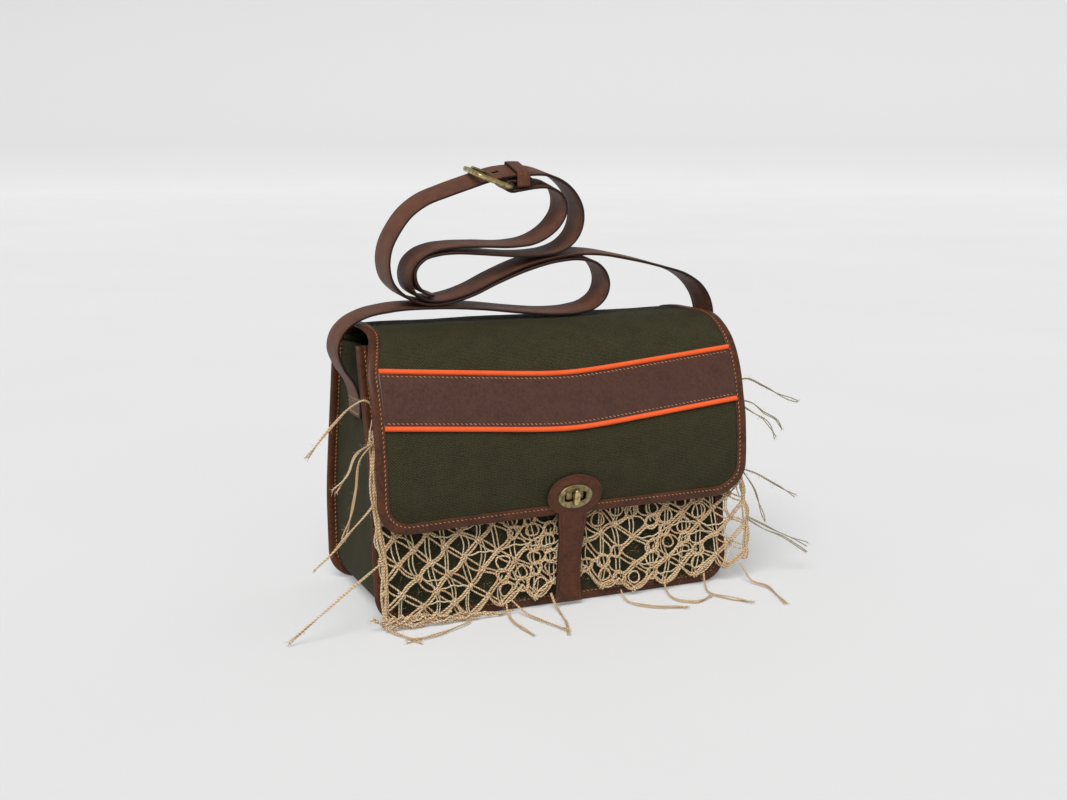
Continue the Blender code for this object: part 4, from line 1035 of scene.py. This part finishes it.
# Section of the keeper: along the strap, out, share of edge paint, which in its grooves is painted shade
keeper_section = np.array(((-7.0, -0.6, 1), (-7.0, 0.4, 1), (-6.4, 0.8, 0.2), (-5.6, 0.85, 0),
                           (-5.0, 0.55, 0.4), (-4.4, 0.8, 0), (-1.2, 0.95, 0), (-0.6, 0.6, 0.4),
                           (0.0, 0.95, 0), (4.4, 0.8, 0), (5.0, 0.55, 0.4), (5.6, 0.85, 0), (6.4, 0.8, 0.2),
                           (7.0, 0.4, 1), (7.0, -0.6, 1), (6.4, -0.8, 0), (-6.4, -0.8, 0))) * (MM, MM, 1)
spot = round_loop[:, None] + keeper_section[:, 1][None, :, None] * normal[:, None]
points = np.zeros(spot.shape[:2] + (3,))
points[..., 0] = KEEPER_X * MM + keeper_section[:, 0]
points[..., 2] = (low + high) / 2 + spot[..., 1]
points = points + spot[..., :1] * tipped(KEEPER_TIP[0] * MM, KEEPER_TIP[1] * MM)
marks = {"edge": np.broadcast_to(keeper_section[:, 2], points.shape[:2])}
keeper = closed_grid("keeper_leather", points, 0.1, 0.03, marks, wrap_rows=True)
dress(keeper, strap_leather, "strap_leather", "keeper")

# Net

NET_COLUMNS, NET_ROWS, NET_TOP = 11, 15, 0.2140
NET_STEP, NET_MIDDLE = 0.0179, 0.0060
# Columns: height, place across of the net's left edge; then of its right edge
NET_LEFT = ((-0.001, -0.184), (0.030, -0.184), (0.069, -0.184), (0.089, -0.187), (0.118, -0.190),
            (0.146, -0.192), (0.170, -0.190), (0.214, -0.182))
NET_RIGHT = ((0.018, 0.202), (0.022, 0.207), (0.042, 0.2075), (0.074, 0.2075), (0.107, 0.201),
             (0.170, 0.193), (0.214, 0.186))
# Columns: place across, height of the net's lower edge
NET_BOTTOM = ((-0.184, 0.0035), (-0.139, 0.0045), (-0.088, 0.0040), (-0.062, 0.0110), (-0.004, 0.0150),
              (0.021, 0.0240), (0.040, 0.0150), (0.063, 0.0075), (0.097, 0.0075), (0.143, 0.0120),
              (0.178, 0.0160), (0.202, 0.0210))


# Where the strands may pass by each other: spans across, heights, and the share of the knots there
OPEN_SPANS, OPEN_LOW, OPEN_HIGH, OPEN_PORTION = ((-0.070, -0.012), (0.024, 0.152)), 0.016, 0.104, 0.62


def net_knots():
    """Places (column, row) of the knots, with how open each is: where the strands pass by and leave holes."""
    i, j = np.meshgrid(np.arange(-NET_COLUMNS, NET_COLUMNS + 1), np.arange(NET_ROWS + 1), indexing="ij")
    x = NET_MIDDLE + NET_STEP * i
    low = smooth(NET_BOTTOM, x)[..., 0]
    z = low + (NET_TOP - low) * j / NET_ROWS
    left, right = smooth(NET_LEFT, z)[..., 0], smooth(NET_RIGHT, z)[..., 0]
    x = (x + (left - NET_MIDDLE + NET_STEP * NET_COLUMNS) * np.clip((-i - 4) / 7, 0, 1)**1.5
         + (right - NET_MIDDLE - NET_STEP * NET_COLUMNS) * np.clip((i - 4) / 7, 0, 1)**1.5)
    dice = np.random.default_rng(71)
    inner = (np.abs(i) < NET_COLUMNS) & (j > 0) & (j < NET_ROWS)
    lean = 0.17 * np.clip((0.11 - x) / 0.16, 0, 1) * np.clip((x - left) / 0.030, 0, 1)
    x = x - lean * (np.minimum(z, 0.13) - 0.045) * inner
    x = x + inner * dice.uniform(-0.0024, 0.0024, x.shape)
    z = z + inner * dice.uniform(-0.0021, 0.0021, x.shape)
    y = smooth(NET_HANG, np.clip(z, 0, 0.214))[..., 0]
    y = y + 0.0016 * (np.abs(x - LOCK_X) < 0.020) * (z < 0.05)
    loose = np.any([(x > start) & (x < end) for start, end in OPEN_SPANS], axis=0)
    loose = loose & (z > OPEN_LOW) & (z < OPEN_HIGH) & inner & (dice.uniform(0, 1, x.shape) < OPEN_PORTION)
    open_share = np.where(loose, dice.uniform(0.75, 1.0, x.shape), 0.0)
    return np.stack([x, y, z], -1), open_share


KNOTS, OPEN_SHARE = net_knots()


def links(di, dj):
    """Pairs of neighbouring knots in one direction: the places of both, then how open both are."""
    i, j = np.meshgrid(np.arange(2 * NET_COLUMNS + 1), np.arange(NET_ROWS + 1), indexing="ij")
    keep = (i - NET_COLUMNS + j) % 2 == 0
    keep = keep & (i + di >= 0) & (i + di <= 2 * NET_COLUMNS) & (j + dj <= NET_ROWS)
    i, j = i[keep], j[keep]
    return KNOTS[i, j], KNOTS[i + di, j + dj], OPEN_SHARE[i, j], OPEN_SHARE[i + di, j + dj]


def between(first, last, t):
    """Straight lines from first to last places, at shares t."""
    return first[:, None] + (last - first)[:, None] * t[..., None]


def pair_paths(first, last, open_first, open_last, apart, bow, depth, count):
    """Two strands from knot to knot. They stand off the middle line by s_end + (s_mid - s_end) w, where w is
    1 - |2t - 1|^3 from a knot and (1 - cos 2 pi t) / 2 where the strands pass by each other."""
    t = np.linspace(0, 1, count)[None]
    open_share = open_first[:, None] * (1 - t) + open_last[:, None] * t
    tight = 1 - np.abs(2 * t - 1)**3
    loose = (1 - np.cos(2 * math.pi * t)) / 2
    w = tight * (1 - open_share) + loose * open_share
    end = 0.0011 + 0.0050 * open_share
    off = end + (apart[:, None] * (1 - 0.45 * open_share) - end) * w
    way = last - first
    square = unit(np.stack([-way[:, 2], np.zeros(len(way)), way[:, 0]], -1))
    sag = bow[:, None] * np.sin(math.pi * t)
    middle = between(first, last, t) + square[:, None] * sag[..., None]
    sway = 0.0004 * np.sin(2 * math.pi * t + bow[:, None] * 9e3)
    middle[..., 1] += depth * (0.25 + 0.75 * np.sin(math.pi * t)) + sway
    reach = square[:, None] * off[..., None]
    return np.concatenate([middle + reach, middle - reach])


def twine(name, paths, radius, finish=jute, sides=8, lobe=0.17, twist=TWIST / 2, close=False):
    """Dressed two-ply tubes along paths."""
    thing = tubes(name, paths, radius, sides=sides, twist=twist, lobe=lobe, close=close)
    return dress(thing, finish, "jute_twine")


dice = np.random.default_rng(72)
# Columns: name, step to the next knot, half the space between the two strands, how much deeper they lie,
# radius, finish
families = (("net_upright", (0, 2), 0.0019, 0.0010, 0.00078, jute_pale),
            ("net_falling", (1, -1), 0.0024, 0.0001, 0.00100, jute),
            ("net_rising", (1, 1), 0.0013, -0.0010, 0.00118, jute))
UPRIGHTS_KEPT = 0.82            # share of the upright pairs that there are
FLAP_HIDES_NET = 0.106          # above this height the strands are coarser
for name, (di, dj), apart_m, depth, radius, finish in families:
    if dj < 0:
        last, first, open_last, open_first = links(-di, -dj)
    else:
        first, last, open_first, open_last = links(di, dj)
    count = len(first)
    apart = apart_m * dice.uniform(0.55, 1.45, count)
    bow = dice.normal(0, 0.0022 if di == 0 else 0.0013, count)
    if di == 0:
        aside = dice.uniform(-0.0022, 0.0022, (2, count, 1)) * (1, 0, 0)
        first, last = first + aside[0], last + aside[1]
        kept = (dice.uniform(0, 1, count) < UPRIGHTS_KEPT) | (np.abs(first[:, 0]) > 0.17)
        first, last, open_first, open_last, apart, bow = (each[kept] for each in (
            first, last, open_first * 0.3, open_last * 0.3, apart, bow))
    seen = np.minimum(first[:, 2], last[:, 2]) < FLAP_HIDES_NET
    for part, mask, rings, sides in (("", seen, 26, 8), ("_top", ~seen, 9, 6)):
        chosen = (each[mask] for each in (first, last, open_first, open_last, apart, bow))
        paths = pair_paths(*chosen, depth, rings)
        paths[..., 2] = np.maximum(paths[..., 2], 0.0010)
        twine(name + part, paths, radius, finish, sides)
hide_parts("net")


def coils(name, places, lean, size, turns=2.6, radius=0.00085, rings=30):
    """Wrapped knots: a helix of some turns about a leaning short axis, its radius swelling in the middle."""
    t = np.linspace(-1, 1, rings)[None]
    angle = turns * math.pi * t + dice.uniform(0, 6, (len(places), 1))
    swell = size[:, None] * (0.55 + 0.45 * np.cos(t * math.pi / 2))
    axis = np.stack([np.sin(lean), np.zeros(len(lean)), np.cos(lean)], -1)
    square = np.stack([np.cos(lean), np.zeros(len(lean)), -np.sin(lean)], -1)
    depth_axis = np.array((0.0, 1.0, 0.0))
    path = (places[:, None] + axis[:, None] * (t * size[:, None] * 1.15)[..., None]
            + square[:, None] * (swell * np.cos(angle))[..., None]
            + depth_axis * (0.62 * swell * np.sin(angle))[..., None])
    path[..., 2] = np.maximum(path[..., 2], radius)
    return twine(name, path, radius, sides=6, lobe=0.15)


i, j = np.meshgrid(np.arange(2 * NET_COLUMNS + 1), np.arange(NET_ROWS + 1), indexing="ij")
tied = ((i - NET_COLUMNS + j) % 2 == 0) & (i > 0) & (i < 2 * NET_COLUMNS)
tied = tied & (OPEN_SHARE < 0.3) & (KNOTS[..., 2] < 0.125)
places = KNOTS[tied] + (0, -0.0004, 0)
coils("net_knots", places, dice.choice((-0.9, 0.9), len(places)) + dice.normal(0, 0.15, len(places)),
      dice.uniform(0.0022, 0.0033, len(places)), radius=0.0011)

# Short strands that cross from one knot to the next beside it, sagging or arching
i, j = np.meshgrid(np.arange(2, 2 * NET_COLUMNS - 2), np.arange(1, 8), indexing="ij")
crossing = ((i - NET_COLUMNS + j) % 2 == 0) & (dice.uniform(0, 1, i.shape) < 0.36)
first, last = KNOTS[i, j][crossing], KNOTS[i + 2, j][crossing]
t = np.linspace(0, 1, 24)[None]
arch = dice.choice((-1.0, 1.0), len(first))[:, None] * dice.uniform(0.002, 0.006, (len(first), 1))
path = between(first, last, t)
path[..., 2] += arch * np.sin(math.pi * t) + 0.0006 * np.sin(t * 17)
path[..., 1] -= 0.0016 * np.sin(math.pi * t)
twine("net_crossing", path, 0.00082, jute_pale)

# Rings of twine round the open places of the net: wavering circles of radius
# R (1 + a sin 2 angle + b sin 3 angle)
rings = KNOTS[(OPEN_SHARE > 0.3) & (KNOTS[..., 2] < 0.108)]
angle = np.linspace(0, 2 * math.pi, 41)[None, :-1]
shape_2, shape_3 = dice.uniform(-0.12, 0.12, (2, len(rings), 1))
size = dice.uniform(0.0058, 0.0074, (len(rings), 1))
size = size * (1 + shape_2 * np.sin(2 * angle) + shape_3 * np.sin(3 * angle))
depth = rings[:, 1:2] - 0.0010 + 0.0008 * np.sin(2 * angle + shape_3 * 40)
paths = np.stack([rings[:, :1] + size * np.cos(angle), depth, rings[:, 2:] + size * np.sin(angle)], -1)
twine("net_rings", paths, 0.00105, close=True)


def cords(name, side, up, sway, rows, radius):
    """Cords side by side along a side of the net. rows are (aside, deeper, waves, phase) of each."""
    x, y = (smooth(line, up)[..., 0] for line in (side, NET_HANG))
    paths = [np.stack([x + aside + sway * np.sin(up * waves + phase), y + deeper + 0 * up, up], -1)
             for aside, deeper, waves, phase in rows]
    twine(name, np.stack(paths), radius)


# Left edge: four cords side by side with thick knots. Right edge: three cords, and bowed loops that stand
# free of the bag
cords("net_edge_left", NET_LEFT, np.linspace(0.003, 0.190, 150), 0.0008,
      ((-0.0022, -0.0003, 130, 0.0), (0.0002, -0.0016, 170, 1.9), (0.0026, 0.0002, 120, 4.0),
       (0.0012, -0.0026, 95, 2.6)), 0.00125)
# Columns: across, height, size
thick = np.array(((-0.1905, 0.122, 0.0032), (-0.1855, 0.067, 0.0034), (-0.184, 0.0075, 0.0030),
                  (-0.191, 0.177, 0.0030), (-0.184, 0.036, 0.0024), (-0.189, 0.094, 0.0024)))
places = np.stack([thick[:, 0], smooth(NET_HANG, thick[:, 1])[:, 0] - 0.0006, thick[:, 1]], -1)
coils("net_edge_knots", places, dice.normal(0, 0.2, len(places)), thick[:, 2], turns=3.6, radius=0.0010,
      rings=54)
cords("net_edge_right_cords", NET_RIGHT, np.linspace(0.022, 0.150, 120), 0.0012,
      ((-0.0024, -0.0006, 140, 0.4), (-0.0004, -0.0018, 105, 2.2), (0.0010, 0.0002, 160, 4.4)), 0.00105)
rows_right = KNOTS[2 * NET_COLUMNS]
take = np.arange(1, NET_ROWS + 1, 2)
first, last = rows_right[take[:-1]], rows_right[take[1:]]
t = np.linspace(0, 1, 26)[None]
for number, bow in enumerate((0.0035, 0.0060)):
    path = between(first, last, t)
    path[..., 0] += (bow * np.sin(math.pi * t)) * (0.7 + 0.3 * np.cos(take[:-1, None] * 1.7))
    path[..., 1] += 0.0008 * (number - 0.5)
    twine(f"net_edge_right_{number}", path, 0.00095)

# Lower edge: doubled loops that droop from knot to knot
i = np.arange(2 * NET_COLUMNS + 1)
on_edge = np.where((i - NET_COLUMNS) % 2 == 0, 0, 1)
edge_knots = KNOTS[i, on_edge]
for number, droop in enumerate((0.0020, 0.0042)):
    t = np.linspace(0, 1, 22)[None]
    path = between(edge_knots[:-1], edge_knots[1:], t)
    path[..., 2] -= droop * np.sin(math.pi * t)
    path[..., 1] -= 0.0006 + 0.0012 * number
    path[..., 2] = np.maximum(path[..., 2], 0.0011)
    twine(f"net_edge_low_{number}", path, 0.00090)

# Gathered strands that lie along the lower left edge
t = np.linspace(0, 1, 110)
paths = []
for number in range(8):
    x = -0.186 + (0.130 - 0.013 * number) * t
    sway = 0.0016 * np.sin(t * dice.uniform(16, 30) + number * 2.1) + 0.0007 * np.sin(t * 61 + number)
    z = 0.0030 + 0.0014 * number + sway + 0.006 * np.clip(t - 0.75, 0, 1)
    y = -0.0935 - 0.0012 * (number % 3) - 0.0009 * np.sin(t * dice.uniform(12, 26) + number)
    paths.append(np.stack([x, y, np.maximum(z, 0.0012)], -1))
twine("net_edge_bundle", np.array(paths), 0.00115)

# Loose ends, each two strands that part towards their tips, in mm
TWINE_ENDS = (
    ((-186, -77, 212), (-198, -81, 220), (-208, -84, 217), (-230, -88, 200), (-254, -90, 174)),
    ((-190, -82, 180), (-209, -88, 171), (-217, -90, 155), (-230, -90, 140)),
    ((-190, -82, 180), (-204, -87, 167), (-210, -90, 139), (-217, -91, 111), (-223, -91, 95)),
    ((-190, -85, 124), (-199, -88, 116), (-217, -91, 100), (-235, -92, 82), (-251, -92, 69)),
    ((-186, -87, 66), (-196, -89, 60), (-212, -91, 50), (-232, -92, 36), (-277, -94, 4)),
    ((-184, -88, 3), (-190, -89, 9), (-197, -89, 13)),
    ((196, -76, 209), (208, -79, 211), (226, -82, 203), (248, -85, 191), (266, -86, 184)),
    ((198, -80, 190), (211, -84, 187), (227, -85, 175), (242, -86, 166), (248, -86, 157)),
    ((200, -79, 186), (214, -84, 176), (227, -86, 168), (235, -87, 158), (240, -87, 148)),
    ((200, -86, 119), (214, -88, 114), (237, -89, 101), (265, -89, 84)),
    ((202, -86, 117), (216, -89, 95), (222, -90, 78), (229, -90, 61)),
    ((207, -88, 68), (222, -90, 60), (240, -90, 50), (281, -92, 30)),
    ((207, -88, 66), (225, -91, 54), (250, -91, 42), (280, -92, 22)),
    ((201, -90, 18), (205, -106, 4), (211, -122, 3), (207, -150, 2.2), (201, -175, 2.2)),
    ((-184, -88, 3), (-180, -104, 3), (-171, -122, 2.4), (-165, -135, 2.2)),
    ((-100, -88, 5), (-104, -100, 3.2), (-122, -112, 2.8), (-141, -121, 2.4), (-176, -128.5, 2.2)),
    ((-62, -88, 13), (-64, -98, 5), (-67, -124, 3), (-63, -157, 2.2)),
    ((-56, -88, 13), (-48, -106, 4), (-40, -130, 3), (-33, -147, 2.4), (-28, -160, 2.2)),
    ((-16, -92, 16), (-14, -98, 6), (-16, -115, 3), (-22, -142, 2.6), (-32, -168, 2.2)),
    ((63, -88, 7), (61, -98, 3.6), (61, -112, 2.6), (74, -131, 2.4), (106, -146.5, 2.2)),
    ((112, -88, 9), (109, -99, 4), (109, -127, 2.6), (122, -137, 2.4), (144, -127, 2.2)),
    ((158, -88, 13), (154, -98, 5), (148, -118, 2.6), (158, -140, 2.4), (173, -159, 2.2)))


def end_paths(route):
    """Two strands along a loose end. They lie side by side and turn slowly about each other, then part."""
    line = with_run(np.array(route, float) * MM)
    at = np.linspace(0, line[-1, 0], 64)
    middle = smooth(line, at)
    share = at / at[-1]
    _, side, other = (value[0] for value in frames(middle[None]))
    turn = share * dice.uniform(3.0, 7.0) + dice.uniform(0, 6)
    apart = 0.0005 + 0.0009 * share**3 * dice.uniform(0.5, 1.6)
    reach = apart[:, None] * (np.cos(turn)[:, None] * side + np.sin(turn)[:, None] * other)
    waves = [np.sin(share * dice.uniform(8, 16) + k) for k in range(3)]
    wander = 0.0003 * share[:, None] * np.stack(waves, -1)
    pair = np.stack([middle + reach + wander, middle - reach - wander])
    pair[..., 2] = np.maximum(pair[..., 2], 0.0010)
    return pair


ends = np.concatenate([end_paths(route) for route in TWINE_ENDS])
# The first 6 hang at the left and the next 7 at the right, where they are thinner and greyer. The rest lie in
# front
for name, part, size, finish in (("left_ends", ends[:12], 0.00078, jute),
                                 ("right_ends", ends[12:26], 0.00062, jute_grey),
                                 ("floor_ends", ends[26:], 0.00080, jute)):
    twine(name, part, size, finish, lobe=0.15, twist=TWIST)


def hairs(name, roots, way, bend_m, longest, radius, finish, **shape):
    """Thin bent hairs from roots along a way, each of its own length."""
    t = np.linspace(0, 1, 5)[None, :, None]
    bend = dice.normal(0, bend_m, (len(roots), 1, 3))
    length = dice.uniform(0.002, longest, (len(roots), 1, 1))
    path = roots[:, None] + way[:, None] * t * length + bend * t**2
    path[..., 2] = np.maximum(path[..., 2], 0.0004)
    dress(tubes(name, path, radius, **shape), finish, "jute_twine")


# Frayed tips and stray fibres
HAIRS_AT_TIP, FIBRES_ON_ENDS, FIBRES_ON_KNOTS = 6, 700, 500
tips, tip_way = ends[:, -1], unit(ends[:, -1] - ends[:, -4])
roots = np.repeat(tips - tip_way * 0.0015, HAIRS_AT_TIP, 0)
way = unit(np.repeat(tip_way, HAIRS_AT_TIP, 0) + dice.normal(0, 0.28, (len(roots), 3)))
hairs("frayed_tips", roots, way, 0.0011, 0.0050, 0.00016, jute_pale, sides=4, taper_ends=0.0012)
pool = ends.reshape(-1, 3)
low_knots = KNOTS[KNOTS[..., 2] < 0.11]
on_ends = pool[dice.integers(0, len(pool), FIBRES_ON_ENDS)]
on_knots = low_knots[dice.integers(0, len(low_knots), FIBRES_ON_KNOTS)]
on_knots = on_knots + dice.normal(0, 0.0022, (FIBRES_ON_KNOTS, 3)) * (1, 0, 1)
roots = np.concatenate([on_ends, on_knots])
way = unit(dice.normal(0, 1, (len(roots), 3)) * (1, 0.6, 1))
hairs("stray_fibres", roots, way, 0.0012, 0.0055, 0.00008, jute, sides=3)

# Floor, backdrop and light. The floor bends up into a round wall, sizes in metres

FLOOR_RADIUS, WALL_BEND, WALL_HEIGHT = 9.0, 3.0, 6.0

angle = np.linspace(0, 2 * math.pi, 97)[:-1]
bend = np.linspace(0, math.pi / 2, 24)[1:]
radius = np.concatenate([np.linspace(0.0, FLOOR_RADIUS, 40), FLOOR_RADIUS + WALL_BEND * np.sin(bend),
                         [FLOOR_RADIUS + WALL_BEND]])
height = np.concatenate([np.zeros(40), WALL_BEND * (1 - np.cos(bend)), [WALL_HEIGHT]])
points = np.stack([radius[:, None] * np.cos(angle), radius[:, None] * np.sin(angle),
                   np.broadcast_to(height[:, None], (len(radius), len(angle)))], -1)
uv = grid_uv(len(radius), len(angle) + 1, 20.0, 30.0)
backdrop = build("backdrop", points, uv, wrap=(False, True), flip=True, weld=True)
# Seamless studio paper, lit evenly from behind so that it stays one pale tone
paper, shader = new_finish("pale_paper", Roughness=0.95, Specular_IOR_Level=0.0,
                           Emission_Strength=PAPER_GLOW, Emission_Color=linear("#FBFCFB"))
place = object_place(paper)
cloud = noise(paper, place, 700.0, detail=2.0)
tone = blend_colour(paper, cloud, linear("#BEBEBE"), linear("#C0C0C0"))
rise = add(paper, "ShaderNodeSeparateXYZ", {0: place}).outputs[2]
far = math_node(paper, "POWER", spread(paper, rise, 0.0, 0.3), 0.5)
# The wall turns paler towards the side that the lamp leaves in shade
LAMP_WAY = (0.573, 0.819, 0.0)
behind = add(paper, "ShaderNodeVectorMath", {0: place, 1: LAMP_WAY}, operation="DOT_PRODUCT").outputs["Value"]
behind = spread(paper, behind, -9.0, 7.0)
wall_tone = blend_colour(paper, behind, linear("#F4F4F4"), linear("#AAAAAA"))
join(paper, blend_colour(paper, far, tone, wall_tone), shader, "Base Color")
backdrop.data.materials.append(paper)

world = bpy.data.worlds.new("studio")
bpy.context.scene.world = world
world.use_nodes = True
sky = world.node_tree.nodes["Background"]
sky.inputs["Color"].default_value = (1.0, 1.0, 1.0, 1.0)
sky.inputs["Strength"].default_value = 0.35


def lamp(kind, name, place, aim, strength, **values):
    """Light that faces a point."""
    data = bpy.data.lights.new(name, kind)
    data.energy = strength
    for key, value in values.items():
        setattr(data, key, value)
    thing = bpy.data.objects.new(name, data)
    bpy.context.scene.collection.objects.link(thing)
    back = unit(np.array(place, float) - np.array(aim, float))
    right = unit(np.cross((0.0, 0.0, 1.0), back))
    turned = np.eye(4)
    turned[:3] = np.column_stack([right, np.cross(back, right), back, place])
    thing.matrix_world = Matrix(turned)
    return thing


lamp("SUN", "high_light", (-1.4, -2.0, 3.2), (0.0, 0.0, 0.15), strength=3.0, angle=math.radians(38))
bpy.context.scene.view_settings.view_transform = "Standard"
